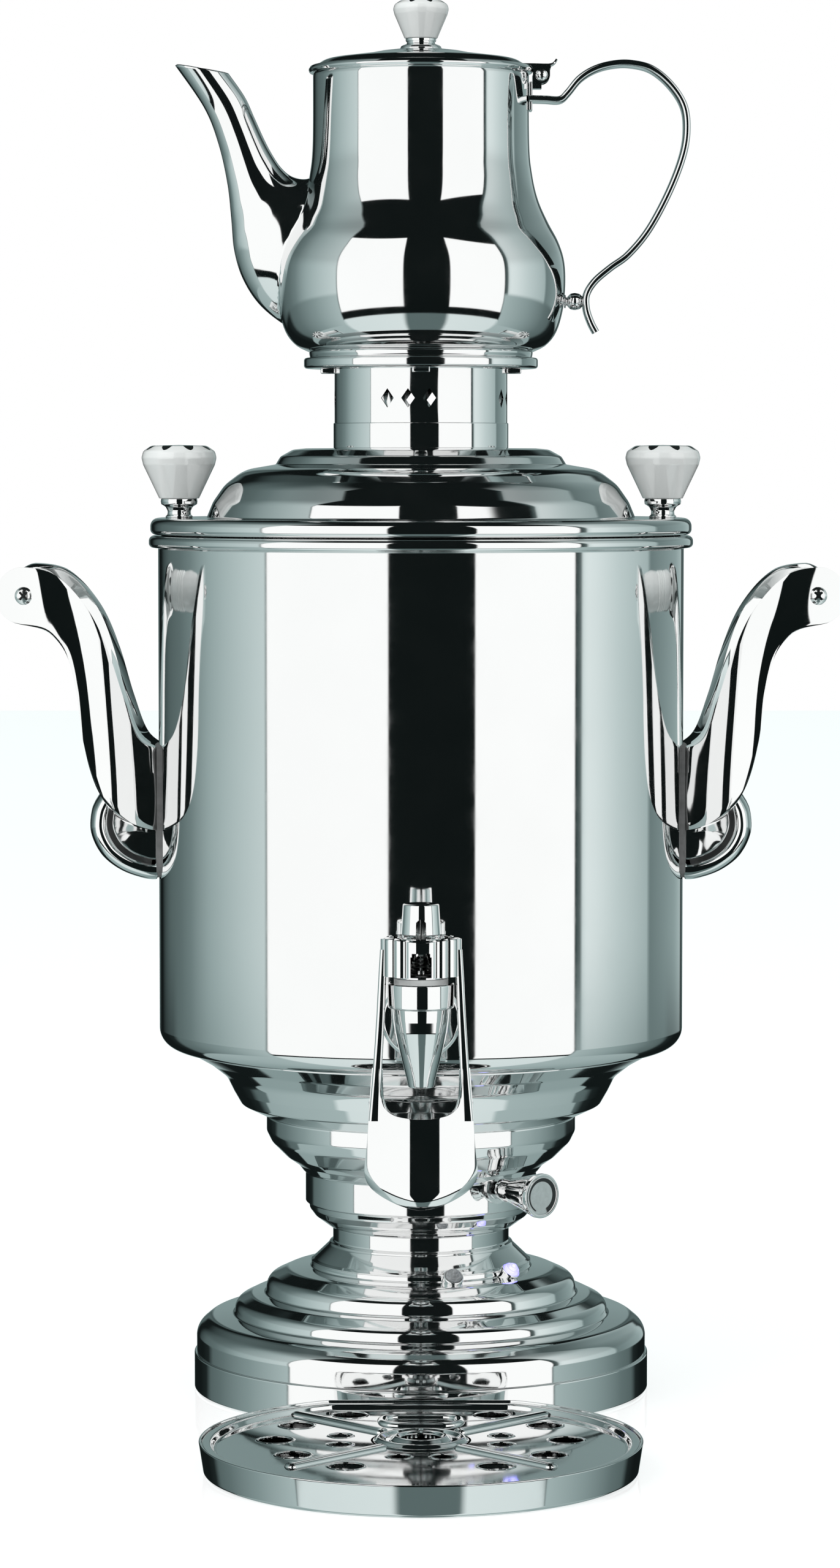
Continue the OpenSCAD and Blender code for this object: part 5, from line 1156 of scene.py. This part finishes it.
def build_pot_handle():
    """The teapot's strap handle with its ball post and upper bracket."""
    half_width = high("teapot_handle").y
    half_thick = 1.65
    count = 180
    path = smooth_line(STRAP_LINE, count)

    def place(u, v):
        i = round(v * count)
        a, b = path[max(0, i - 1)], path[min(count, i + 1)]
        along = (b - a).normalized()
        side = Vector((-along.y, along.x))
        t = 2 * math.pi * u + math.pi / 16
        c, s = math.cos(t), math.sin(t)
        across = half_width * math.copysign(abs(c) ** 0.28, c)
        out = half_thick * math.copysign(abs(s) ** 0.42, s) * (1 - 0.10 * (across / half_width) ** 2)
        point = path[i] + side * out
        return point.x, across, POT_Z + point.y

    strap = shaped_grid(32, count, place)
    close_ends(strap)
    post = spin_line(rounded([
        (0, 0), (3.0, 0, 0.3), (3.0, 0.7, 0.3), (1.9, 0.9, 0.2), (1.8, 1.4, 0.2), (2.4, 1.7, 0.3),
        (3.6, 3, 1.5), (3.95, 4.9, 2.4), (3.4, 7.2, 1.8), (2.2, 8.4, 0.5), (1.8, 8.9, 0.2),
        (2.6, 9.2, 0.2), (2.6, 10.2, 0.2),
        (0, 10.2),
    ], 12), 48)
    moved(post, turn(90, "Y"), shift(65.2, 0, POT_Z + 26))
    bracket = block((1.5, 11, 13), shift(NECK_R + 0.8, 0, POT_RIM - 10.5))
    finish("pot_handle", joined(strap, post, bracket), "polished_steel", "teapot", "teapot_handle", sharp=70)


def build_pot_lid():
    """The teapot's lid, its ceramic knob with a stem, and the thumb tab on the hinge leaf."""
    r = high("teapot_lid").x
    base = POT_RIM
    crown = base + 3.4
    top = crown + 0.78 * 9.4
    plug_r = NECK_R - 1.4
    spun("pot_cover", [
        (plug_r, base - 8), (plug_r, base + 0.3), (r - 0.6, base + 0.1, 0.5), (r, base + 1.6, 1.2),
        (r - 1.0, base + 3.2, 1), (NECK_R - 1.5, crown + 0.1, 1), (43.9, crown + 2.6, 24),
        (25, crown + 5.2, 30), (19, crown + 6.4, 5), (12, top, 6), (0, top),
    ], "polished_steel", "teapot_cover", "teapot_lid", wall=sheet(), step=5)
    knob_z = low("teapot_lid_knob").z
    knob_h = high("teapot_lid_knob").z - knob_z
    ceramic_knob("pot_ceramic_knob", POT_KNOB_D, POT_KNOB_FOOT, knob_h, shift(0, 0, knob_z),
                 "teapot_cover", "teapot_lid_knob")
    spun("pot_knob_stem", [
        (0, top), (9.6, top, 0.4), (9.4, top + 0.8, 0.4), (7.4, top + 1.8, 1), (6.4, top + 2.4, 0.4),
        (6.4, knob_z - 1.6, 0.4), (6.9, knob_z - 1.2, 0.3), (6.9, knob_z, 0.3), (0, knob_z),
    ], "polished_steel", "teapot_cover", segments=96)
    tab = facing(shaped_grid(8, 24, tab_place), UPWARDS)
    finish("hinge_tab", tab, "polished_steel", "teapot_cover", wall=1.0, edge=0.3)


# Line of the thumb tab as (x, height above the pot's foot).
TAB_LINE = [
    Vector(p) for p in ((46, 133.4), (52, 133.3), (56, 133.2), (58.6, 133.3), (60.2, 134.1), (61.2, 135.6))
]


def tab_place(u, v):
    """Place of a point of the thumb tab, which lies over the hinge and curls up at its end."""
    point = curve_at(TAB_LINE, v)
    half = 4.6 - 1.4 * eased((v - 0.75) * 4)
    return point.x, (2 * u - 1) * half, POT_Z + point.y


# ---------- drip tray ----------

TRAY_R = 94.0
TRAY_BACK = 84.5
TRAY_Y = low("drip_tray").y + TRAY_R
# Share of an outline's points that its arc takes; the straight back has the rest.
ARC_SHARE = 0.9


def tray_point(share, inset):
    """Point on the tray's outline moved in by inset: first the arc, then the straight back."""
    r = TRAY_R - inset
    back = TRAY_BACK - inset
    open_angle = math.acos(min(1.0, back / r))
    if share < ARC_SHARE:
        a = open_angle + (2 * math.pi - 2 * open_angle) * share / ARC_SHARE
        return r * math.sin(a), TRAY_Y + r * math.cos(a)
    reach = r * math.sin(open_angle)
    return -reach + 2 * reach * (share - ARC_SHARE) / (1 - ARC_SHARE), TRAY_Y + back


def swept(section):
    """A section of (inset, height) carried round the tray's outline."""
    count = len(section) - 1

    def place(u, v):
        inset, z = section[round(v * count)]
        x, y = tray_point(u, inset)
        return x, y, z

    return shaped_grid(240, count, place)


def build_tray():
    """The loose tray, drawn round its outline from foot to rim and down to its floor."""
    top = high("drip_tray").z
    section = rounded([
        (20, 0.0), (4.2, 0.0, 0.8), (4.0, 0.7, 0.3), (2.0, 0.9, 1.2), (0, top, 0.4), (1.0, top, 0.3),
        (1.1, top - 1.6, 0.2), (3.6, top - 1.7, 0.3), (4.6, 2.4, 0.6), (20, 2.4),
    ], 15)
    bm = swept(section)
    close_ends(bm)
    finish("tray", bm, "polished_steel", "tray", "drip_tray", sharp=40)


# The grid: middle of its hub, top of its plate and of its flange, wall and inset of its plate, and
# radius of the hole in its hub.
GRID_Y = TRAY_Y + 14.5
GRID_FLAT = low("drip_grid").z + 0.8
GRID_TOP = high("drip_grid").z
PLATE = 0.7
PLATE_INSET = 7.2
HUB_HOLE = 8.5
# Ribs: directions from the straight back, start, length, half width and rise.
RIB_TURNS = (45, 135, 225, 315)
RIB_START = 21
RIB_LENGTH = 58
RIB_HALF = 3.1
RIB_RISE = 1.9
# The oval bead: its place behind the hub, half its length and width, its own half width and rise.
OVAL_BACK = 40.5
OVAL_HALF = (17, 9.5)
BEAD_HALF = 2.0
BEAD_RISE = 1.5
# Rings of holes round the hub: distance, hole radius and directions from the straight back.
DRAINS = (
    (62, 7.2, (30, 60, 90, 120, 150, 210, 240, 270, 300, 330)),
    (35.5, 4.8, (75, 105, 165, 195, 255, 285)),
)


def drains():
    """Centre (x, y) and radius of every hole in the grid round its hub."""
    out = []
    for r, hole, angles in DRAINS:
        for a in angles:
            way = math.radians(90 + a)
            out.append((r * math.cos(way), GRID_Y + r * math.sin(way), hole))
    return out


def grid_plate():
    """Flat plate of the grid with its holes."""
    bm = bmesh.new()
    count = 180
    ring = []
    for i in range(count):
        x, y = tray_point(i / count, PLATE_INSET)
        ring.append(bm.verts.new((x * MM, y * MM, GRID_FLAT * MM)))
    for a, b in zip(ring, ring[1:] + ring[:1]):
        bm.edges.new((a, b))
    for x, y, r in drains() + [(0, GRID_Y, HUB_HOLE)]:
        bmesh.ops.create_circle(bm, segments=48, radius=(r + 0.6) * MM,
                                matrix=Matrix.Translation(Vector((x, y, GRID_FLAT)) * MM))
    bmesh.ops.triangle_fill(bm, use_beauty=True, use_dissolve=False, edges=bm.edges, normal=(0, 0, 1))
    made = bmesh.ops.extrude_face_region(bm, geom=bm.faces, use_keep_orig=True)["geom"]
    lowered = [g for g in made if isinstance(g, bmesh.types.BMVert)]
    bmesh.ops.translate(bm, vec=(0, 0, -PLATE * MM), verts=lowered)
    bmesh.ops.recalc_face_normals(bm, faces=bm.faces)
    return bm


def half_round(length, half, rise):
    """A raised rib of half-round section with round ends, along X from the origin."""
    def place(u, v):
        along = length * v
        near = min(along, length - along)
        share = math.sqrt(max(0.0, 1 - (1 - min(1.0, near / half)) ** 2))
        a = math.pi * u
        return along, half * share * math.cos(a), rise * share * math.sin(a)

    return facing(shaped_grid(16, 60, place), UPWARDS)


def oval_bead():
    """The raised oval between the hub and the straight back, round the origin."""
    x, y = OVAL_HALF
    oval = rounded([(-x, -y, 8), (x, -y, 8), (x, y, 8), (-x, y, 8)], 8, closed=True)

    def place(u, v):
        i = round(u * len(oval)) % len(oval)
        way = (oval[(i + 1) % len(oval)] - oval[i - 1]).normalized()
        a = math.pi * v
        point = oval[i] + Vector((way.y, -way.x)) * BEAD_HALF * math.cos(a)
        return point.x, point.y, BEAD_RISE * math.sin(a)

    return facing(shaped_grid(len(oval), 10, place), UPWARDS)


def build_grid():
    """The grid: a plate with holes, a rolled flange, four ribs, a hub and an oval bead."""
    section = rounded([
        (1.5, GRID_TOP - 0.8, 0.2), (1.5, GRID_TOP, 0.7), (5.0, GRID_TOP, 1.4), (6.3, GRID_FLAT, 0.9),
        (7.4, GRID_FLAT, 0.1), (7.4, GRID_FLAT - PLATE, 0.1), (5.4, GRID_FLAT - PLATE, 0.2),
        (4.6, GRID_TOP - 0.8, 0.4),
    ], 12, closed=True)
    parts = [grid_plate(), swept(section + section[:1])]
    middle = shift(0, GRID_Y, GRID_FLAT)
    for a in RIB_TURNS:
        place = middle @ turn(90 + a, "Z") @ shift(RIB_START, 0, 0)
        parts.append(moved(half_round(RIB_LENGTH, RIB_HALF, RIB_RISE), place))
    hub = spin_line(rounded([
        (21.4, 0), (20.0, 0, 0.9), (18.2, 2.4, 1.9), (15.4, 0.3, 1.3), (13.0, 0.3, 1.2), (10.6, 2.7, 1.7),
        (HUB_HOLE, 1.2, 0.6), (HUB_HOLE, -PLATE), (HUB_HOLE + 0.6, -PLATE),
    ], 10), 120)
    parts.append(moved(facing(hub, UPWARDS), middle))
    for x, y, r in drains():
        rim = spin_line(rounded([
            (r + 1.6, 0), (r + 1.2, 0.02, 0.3), (r + 0.6, 0.4, 0.4), (r, 0.1, 0.4), (r, -PLATE),
            (r + 0.6, -PLATE),
        ], 12), 56)
        parts.append(moved(facing(rim, UPWARDS), shift(x, y, GRID_FLAT)))
    parts.append(moved(oval_bead(), shift(0, GRID_Y + OVAL_BACK, GRID_FLAT)))
    finish("tray_grid", joined(*parts), "polished_steel", "grid", "drip_grid")


# ---------- CAD pieces that keep their own shape ----------

def dress_nodes():
    """Gives every CAD node the look of its material slot."""
    slots = {entry["node"]: entry["material_slot"] for entry in frame["record"]["subparts"]}
    for name, node in NODES.items():
        node.data.materials.clear()
        node.data.materials.append(LOOKS[slots[name]])


# ---------- stage ----------

# Brightness of the room by direction round the samovar, in degrees from the front: at the
# height of the tank, a little below it, and low down where the table is.
ROOM = [
    (-180, 0.32), (-174, 0.32), (-172, 0.1), (-167, 0.14), (-165, 0.01), (-158, 0.01), (-152, 0.07),
    (-143, 0.13), (-130, 0.17), (-120, 0.235), (-105, 0.42), (-95, 0.51), (-83, 0.61), (-71, 0.70),
    (-70, 0.008), (70, 0.008), (71, 0.085), (73, 0.085), (74.2, 0.74), (76.5, 0.87), (82, 0.83), (95, 0.68),
    (117.5, 0.49), (118.5, 0.22), (134, 0.30), (148, 0.37), (160, 0.5), (162, 0.01), (167, 0.14), (172, 0.1),
    (174, 0.32), (180, 0.32),
]
ROOM_LOWER = [
    (-180, 0.45), (-174, 0.4), (-171, 0.01), (-150, 0.01), (-140, 0.02), (-134, 0.14), (-122, 0.18),
    (-98, 0.32), (-71, 0.53), (-70, 0.008), (70, 0.008), (71, 0.50), (98, 0.34), (122, 0.18), (134, 0.14),
    (140, 0.02), (150, 0.01), (171, 0.01), (174, 0.4), (180, 0.45),
]
ROOM_TABLE = [
    (-180, 0.30), (-150, 0.38), (-110, 0.46), (-73, 0.50), (-69, 0.80), (-16, 0.84), (-12, 0.16), (21, 0.16),
    (25, 0.84), (69, 0.80), (73, 0.50), (110, 0.46), (150, 0.38), (180, 0.30),
]
# Softboxes: first and last direction, and the elevation of their tops there, all in degrees.
SOFTBOXES = [(-14.0, -70.2, 47.0, 41.0), (23.3, 70.2, 47.0, 34.0)]
SOFTBOX_LOW = -20.0
SOFTBOX_TINT = (0.985, 1, 0.993)
FRONT_HALF = 71
# Elevation of the table's edge in front and at the sides.
TABLE_EDGE = -26.0
TABLE_EDGE_SIDE = -33.0
DIM = 0.008
# Steps by elevation or direction: start and end in degrees, then the values before and after where
# they aren't 0 and 1.
FADE_LOW = (6, 16, 1, 0.82)
FADE_HIGH = (34, 56, 1, 0.5)
OVERHEAD = (58, 70)
BACK = (164, 166)
BACK_TOP = (20, 30)
BACK_WIDENS = (20, 60, 0, 20)
UNDER_TANK = (-8.2, -5.5, 1, 0)


def tinted(value):
    """Grey of the room: cool where it is dim, neutral where it is bright."""
    return (value * min(0.985, 0.66 + 0.27 * value), value, value * 0.993, 1.0)


def round_ramp(nodes, share, room):
    """Colour of the room by direction, as a ramp from the back round the front to the back."""
    ramp = nodes.new("ShaderNodeValToRGB")
    stops = ramp.color_ramp.elements
    while len(stops) > 1:
        stops.remove(stops[-1])
    for i, (az, value) in enumerate(room):
        stop = stops[0] if i == 0 else stops.new((az + 180) / 360)
        stop.position = (az + 180) / 360
        stop.color = tinted(value)
    nodes.link(share, ramp.inputs["Fac"])
    return ramp.outputs["Color"]


def within(nodes, value, start, end, soft):
    """1 between start and end, with soft edges."""
    up = nodes.smooth(value, start - soft, start + soft)
    down = nodes.smooth(value, end - soft, end + soft, 1, 0)
    return nodes.math("MULTIPLY", up, down)


def softbox(nodes, around, elevation, box):
    """1 where a direction meets a softbox."""
    first, last, first_top, last_top = box
    share = nodes.new("ShaderNodeMapRange")
    for socket, value in zip(share.inputs, (around, first, last, first_top, last_top)):
        nodes.put(socket, value)
    sides = within(nodes, around, min(first, last), max(first, last), 0.5)
    under = nodes.math("SUBTRACT", share.outputs[0], elevation)
    top = nodes.smooth(under, -0.5, 0.5)
    foot = nodes.smooth(elevation, SOFTBOX_LOW - 0.5, SOFTBOX_LOW + 0.5)
    return nodes.math("MULTIPLY", nodes.math("MULTIPLY", sides, top), foot)


def directions(nodes):
    """Way round the samovar from the front and elevation of a ray, both in degrees."""
    place = nodes.new("ShaderNodeTexCoord")
    split = nodes.new("ShaderNodeSeparateXYZ")
    nodes.link(place.outputs["Generated"], split.inputs[0])
    x, y, z = split.outputs
    turned = nodes.math("ARCTAN2", x, nodes.math("MULTIPLY", y, -1.0))
    return nodes.math("DEGREES", turned), nodes.math("DEGREES", nodes.math("ARCSINE", z))


def studio(nodes, glow):
    """Colour of the room that polished surfaces mirror."""
    around, elevation = directions(nodes)
    share = nodes.math("ADD", nodes.math("DIVIDE", around, 360.0), 0.5)
    upper, lower, table = (round_ramp(nodes, share, room) for room in (ROOM, ROOM_LOWER, ROOM_TABLE))
    dark = tinted(DIM)
    # The room fades upwards, and it is dark overhead and high up at the back.
    fading = nodes.math("MULTIPLY", *(nodes.smooth(elevation, *fade) for fade in (FADE_LOW, FADE_HIGH)))
    upper = nodes.mix(fading, dark, upper)
    aside = nodes.math("ABSOLUTE", around)
    turned_back = nodes.math("ADD", aside, nodes.smooth(elevation, *BACK_WIDENS))
    behind = nodes.smooth(turned_back, *BACK)
    over_back = nodes.math("MULTIPLY", behind, nodes.smooth(elevation, *BACK_TOP))
    overhead = nodes.smooth(elevation, *OVERHEAD)
    room = nodes.mix(nodes.math("MAXIMUM", overhead, over_back), upper, dark)
    room = nodes.mix(nodes.smooth(elevation, *UNDER_TANK), room, lower)
    # A dark gap runs between the softboxes' feet and the table.
    front = within(nodes, around, -FRONT_HALF, FRONT_HALF, 1)
    below = nodes.smooth(elevation, SOFTBOX_LOW - 0.5, SOFTBOX_LOW + 0.5, 1, 0)
    room = nodes.mix(nodes.math("MULTIPLY", front, below), room, dark)
    edge = nodes.smooth(aside, 70, 76, TABLE_EDGE, TABLE_EDGE_SIDE)
    on_table = nodes.smooth(nodes.math("SUBTRACT", edge, elevation), -0.6, 0.6)
    room = nodes.mix(on_table, room, table)
    lit = nodes.math("MAXIMUM", *(softbox(nodes, around, elevation, box) for box in SOFTBOXES))
    return nodes.mix(lit, room, tuple(c * glow for c in SOFTBOX_TINT) + (1,))


def build_world(looks):
    """White behind the samovar, even light for matt surfaces, and a studio for polished ones."""
    world = bpy.data.worlds.new("studio")
    bpy.context.scene.world = world
    world.use_nodes = True
    nodes = Nodes(world.node_tree)
    world.node_tree.nodes.clear()
    room = studio(nodes, looks.softbox_glow)
    rays = nodes.new("ShaderNodeLightPath")
    mirror = nodes.math("MAXIMUM", rays.outputs["Is Glossy Ray"], rays.outputs["Is Transmission Ray"])
    seen = nodes.mix(mirror, grey(looks.even_light), room)
    seen = nodes.mix(rays.outputs["Is Camera Ray"], seen, WHITE)
    background = nodes.new("ShaderNodeBackground")
    nodes.link(seen, background.inputs["Color"])
    background.inputs["Strength"].default_value = 1.0
    output = nodes.new("ShaderNodeOutputWorld")
    nodes.link(background.outputs[0], output.inputs["Surface"])


def plain_object(name, bm, look):
    """An object that belongs to the stage and not to the samovar."""
    mesh = bpy.data.meshes.new(name)
    bm.to_mesh(mesh)
    bm.free()
    mesh.materials.append(look)
    thing = bpy.data.objects.new(name, mesh)
    bpy.context.scene.collection.objects.link(thing)
    return thing


# The table's own grey, and the glow that only the camera sees on it.
TABLE_GREY = 0.6
TABLE_LIFT = 0.62


def table_look():
    """White, slightly glossy table that keeps the shadow."""
    look, nodes, shader = new_look("table")
    shader.inputs["Base Color"].default_value = grey(TABLE_GREY)
    shader.inputs["Roughness"].default_value = 0.02
    shader.inputs["Emission Color"].default_value = WHITE
    rays = nodes.new("ShaderNodeLightPath")
    lift = nodes.math("MULTIPLY", rays.outputs["Is Camera Ray"], TABLE_LIFT)
    nodes.link(lift, shader.inputs["Emission Strength"])
    return look


# Camera and lamp, in metres and degrees.
CAMERA_PLACE = (-0.00042, -2.2065, 0.427)
CAMERA_DOWN = 3.85
LENS = 110.76
FILM_WIDTH = 36
LAMP_PLACE = Vector((-1.3, -1.4, 1.7))
LAMP_AIM = Vector((0, 0, 0.3))
LAMP_SIDE = 1.2
TABLE_SIDE = 6


def build_stage(looks):
    """Table, studio, one soft lamp and the camera."""
    build_world(looks)
    scene = bpy.context.scene
    top = bmesh.new()
    bmesh.ops.create_grid(top, x_segments=1, y_segments=1, size=TABLE_SIDE)
    table = plain_object("table", top, table_look())
    table.visible_glossy = False
    lamp_data = bpy.data.lights.new("soft_lamp", "AREA")
    lamp_data.size = LAMP_SIDE
    lamp_data.energy = looks.lamp_power
    lamp = bpy.data.objects.new("soft_lamp", lamp_data)
    lamp.location = LAMP_PLACE
    lamp.rotation_euler = (LAMP_AIM - LAMP_PLACE).to_track_quat("-Z", "Y").to_euler()
    lamp.visible_glossy = False
    scene.collection.objects.link(lamp)
    camera_data = bpy.data.cameras.new("camera")
    camera_data.sensor_width = FILM_WIDTH
    camera_data.lens = LENS
    camera = bpy.data.objects.new("camera", camera_data)
    camera.location = CAMERA_PLACE
    camera.rotation_euler = (math.radians(90 - CAMERA_DOWN), 0, 0)
    scene.collection.objects.link(camera)
    scene.camera = camera
    scene.view_settings.view_transform = "Standard"


# ---------- add-on ----------

class SamovarSizes(bpy.types.PropertyGroup):
    """How finely the pieces are turned, and a few of their sizes"""
    segments: bpy.props.IntProperty(
        name="Segments", description="Steps round a large turned piece", default=192, min=48, max=256)
    sheet: bpy.props.FloatProperty(
        name="Sheet", description="Wall of the turned sheet", default=SHEET * MM, min=0.4 * MM, max=1.5 * MM,
        precision=5, unit="LENGTH")
    ring_height: bpy.props.FloatProperty(
        name="Grip rings", description="Height of the rings on the side grips", default=RING_H * MM, min=0,
        max=2 * MM, precision=5, unit="LENGTH")
    flute_depth: bpy.props.FloatProperty(
        name="Flutes", description="Depth of the control knob's flutes, as a share of its radius",
        default=FLUTE_DEPTH, min=0, max=0.2, subtype="FACTOR")


class SamovarLooks(bpy.types.PropertyGroup):
    """Colours and light"""
    steel_colour: bpy.props.FloatVectorProperty(
        name="Steel", description="Colour of the polished steel", default=(0.88, 0.88, 0.88, 1.0), size=4,
        subtype="COLOR", min=0, max=1)
    plated_colour: bpy.props.FloatVectorProperty(
        name="Chrome", description="Colour of the plated castings", default=(0.89, 0.89, 0.89, 1.0), size=4,
        subtype="COLOR", min=0, max=1)
    glaze_colour: bpy.props.FloatVectorProperty(
        name="Glaze", description="Colour of the ceramic", default=(0.90, 0.935, 0.925, 1.0), size=4,
        subtype="COLOR", min=0, max=1)
    polish_roughness: bpy.props.FloatProperty(
        name="Polish", description="Least roughness of the steel", default=0.035, min=0, max=0.3,
        subtype="FACTOR")
    softbox_glow: bpy.props.FloatProperty(
        name="Softboxes", description="Brightness of the bright screens in reflections", default=1.115,
        min=0, max=2)
    lamp_strength: bpy.props.FloatProperty(
        name="Lamp", description="Brightness of the blue power lamp", default=0.9, min=0, max=20)
    even_light: bpy.props.FloatProperty(
        name="Even light", description="Brightness of the even light on matt surfaces", default=0.9,
        min=0, max=2)
    lamp_power: bpy.props.FloatProperty(
        name="Soft lamp", description="Power of the soft lamp", default=14.0, min=0, max=100, unit="POWER")


def sizes():
    """The sizes that a user can change."""
    return bpy.context.scene.samovar_sizes


def sheet():
    """Wall of the turned sheet, in millimetres."""
    return sizes().sheet / MM


class SAMOVAR_OT_looks(bpy.types.Operator):
    """Makes the finishes and dresses the CAD pieces that keep their shape"""
    bl_idname = "samovar.looks"
    bl_label = "Finishes"

    def execute(self, context):
        make_looks(context.scene.samovar_looks)
        dress_nodes()
        return {"FINISHED"}


class SAMOVAR_OT_base(bpy.types.Operator):
    """Turns the base band, the stepped base, the waist and the control drum"""
    bl_idname = "samovar.base"
    bl_label = "Base"

    def execute(self, context):
        build_base()
        build_waist()
        build_housing()
        return {"FINISHED"}


class SAMOVAR_OT_tank(bpy.types.Operator):
    """Turns the tank"""
    bl_idname = "samovar.tank"
    bl_label = "Tank"

    def execute(self, context):
        build_tank()
        return {"FINISHED"}


class SAMOVAR_OT_handles(bpy.types.Operator):
    """Shapes both side handles and their ceramic grips"""
    bl_idname = "samovar.handles"
    bl_label = "Side handles"

    def execute(self, context):
        for side in (-1, 1):
            build_handle(side)
        build_grips()
        return {"FINISHED"}


class SAMOVAR_OT_tap(bpy.types.Operator):
    """Turns the tap and shapes its lever"""
    bl_idname = "samovar.tap"
    bl_label = "Tap"

    def execute(self, context):
        build_tap()
        build_lever()
        return {"FINISHED"}


class SAMOVAR_OT_controls(bpy.types.Operator):
    """Turns the control knob, its dial and the two lamps"""
    bl_idname = "samovar.controls"
    bl_label = "Knob and lamps"

    def execute(self, context):
        build_knob()
        build_lamps()
        return {"FINISHED"}


class SAMOVAR_OT_lid(bpy.types.Operator):
    """Turns the lid, its knobs and the teapot stand"""
    bl_idname = "samovar.lid"
    bl_label = "Lid and stand"

    def execute(self, context):
        build_lid()
        build_lid_knobs()
        build_stand()
        return {"FINISHED"}


class SAMOVAR_OT_teapot(bpy.types.Operator):
    """Turns the teapot and its lid, and shapes its spout and handle"""
    bl_idname = "samovar.teapot"
    bl_label = "Teapot"

    def execute(self, context):
        build_teapot()
        build_spout()
        build_pot_handle()
        build_pot_lid()
        return {"FINISHED"}


class SAMOVAR_OT_tray(bpy.types.Operator):
    """Shapes the drip tray and its grid"""
    bl_idname = "samovar.tray"
    bl_label = "Drip tray"

    def execute(self, context):
        build_tray()
        build_grid()
        return {"FINISHED"}


class SAMOVAR_OT_stage(bpy.types.Operator):
    """Sets up the table, the studio, the lamp and the camera"""
    bl_idname = "samovar.stage"
    bl_label = "Stage"

    def execute(self, context):
        build_stage(context.scene.samovar_looks)
        return {"FINISHED"}


OPERATORS = (
    SAMOVAR_OT_looks, SAMOVAR_OT_base, SAMOVAR_OT_tank, SAMOVAR_OT_handles, SAMOVAR_OT_tap,
    SAMOVAR_OT_controls, SAMOVAR_OT_lid, SAMOVAR_OT_teapot, SAMOVAR_OT_tray, SAMOVAR_OT_stage,
)


class SAMOVAR_PT_pieces(bpy.types.Panel):
    """Lists the pieces of the samovar"""
    bl_idname = "SAMOVAR_PT_pieces"
    bl_label = "Samovar"
    bl_space_type = "VIEW_3D"
    bl_region_type = "UI"
    bl_category = "Samovar"

    def draw(self, context):
        for group in (context.scene.samovar_sizes, context.scene.samovar_looks):
            for key in group.__annotations__:
                self.layout.prop(group, key)
        for operator in OPERATORS:
            self.layout.operator(operator.bl_idname)


CLASSES = (SamovarSizes, SamovarLooks, *OPERATORS, SAMOVAR_PT_pieces)


def register():
    """Adds the samovar's classes and its two groups of values."""
    for cls in CLASSES:
        bpy.utils.register_class(cls)
    bpy.types.Scene.samovar_sizes = bpy.props.PointerProperty(type=SamovarSizes)
    bpy.types.Scene.samovar_looks = bpy.props.PointerProperty(type=SamovarLooks)


def unregister():
    """Takes them away again."""
    del bpy.types.Scene.samovar_looks
    del bpy.types.Scene.samovar_sizes
    for cls in reversed(CLASSES):
        bpy.utils.unregister_class(cls)


def main():
    """Builds every piece and the stage."""
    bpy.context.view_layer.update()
    register()
    for operator in OPERATORS:
        getattr(bpy.ops.samovar, operator.bl_idname.split(".")[1])()


if __name__ == "__main__":
    main()
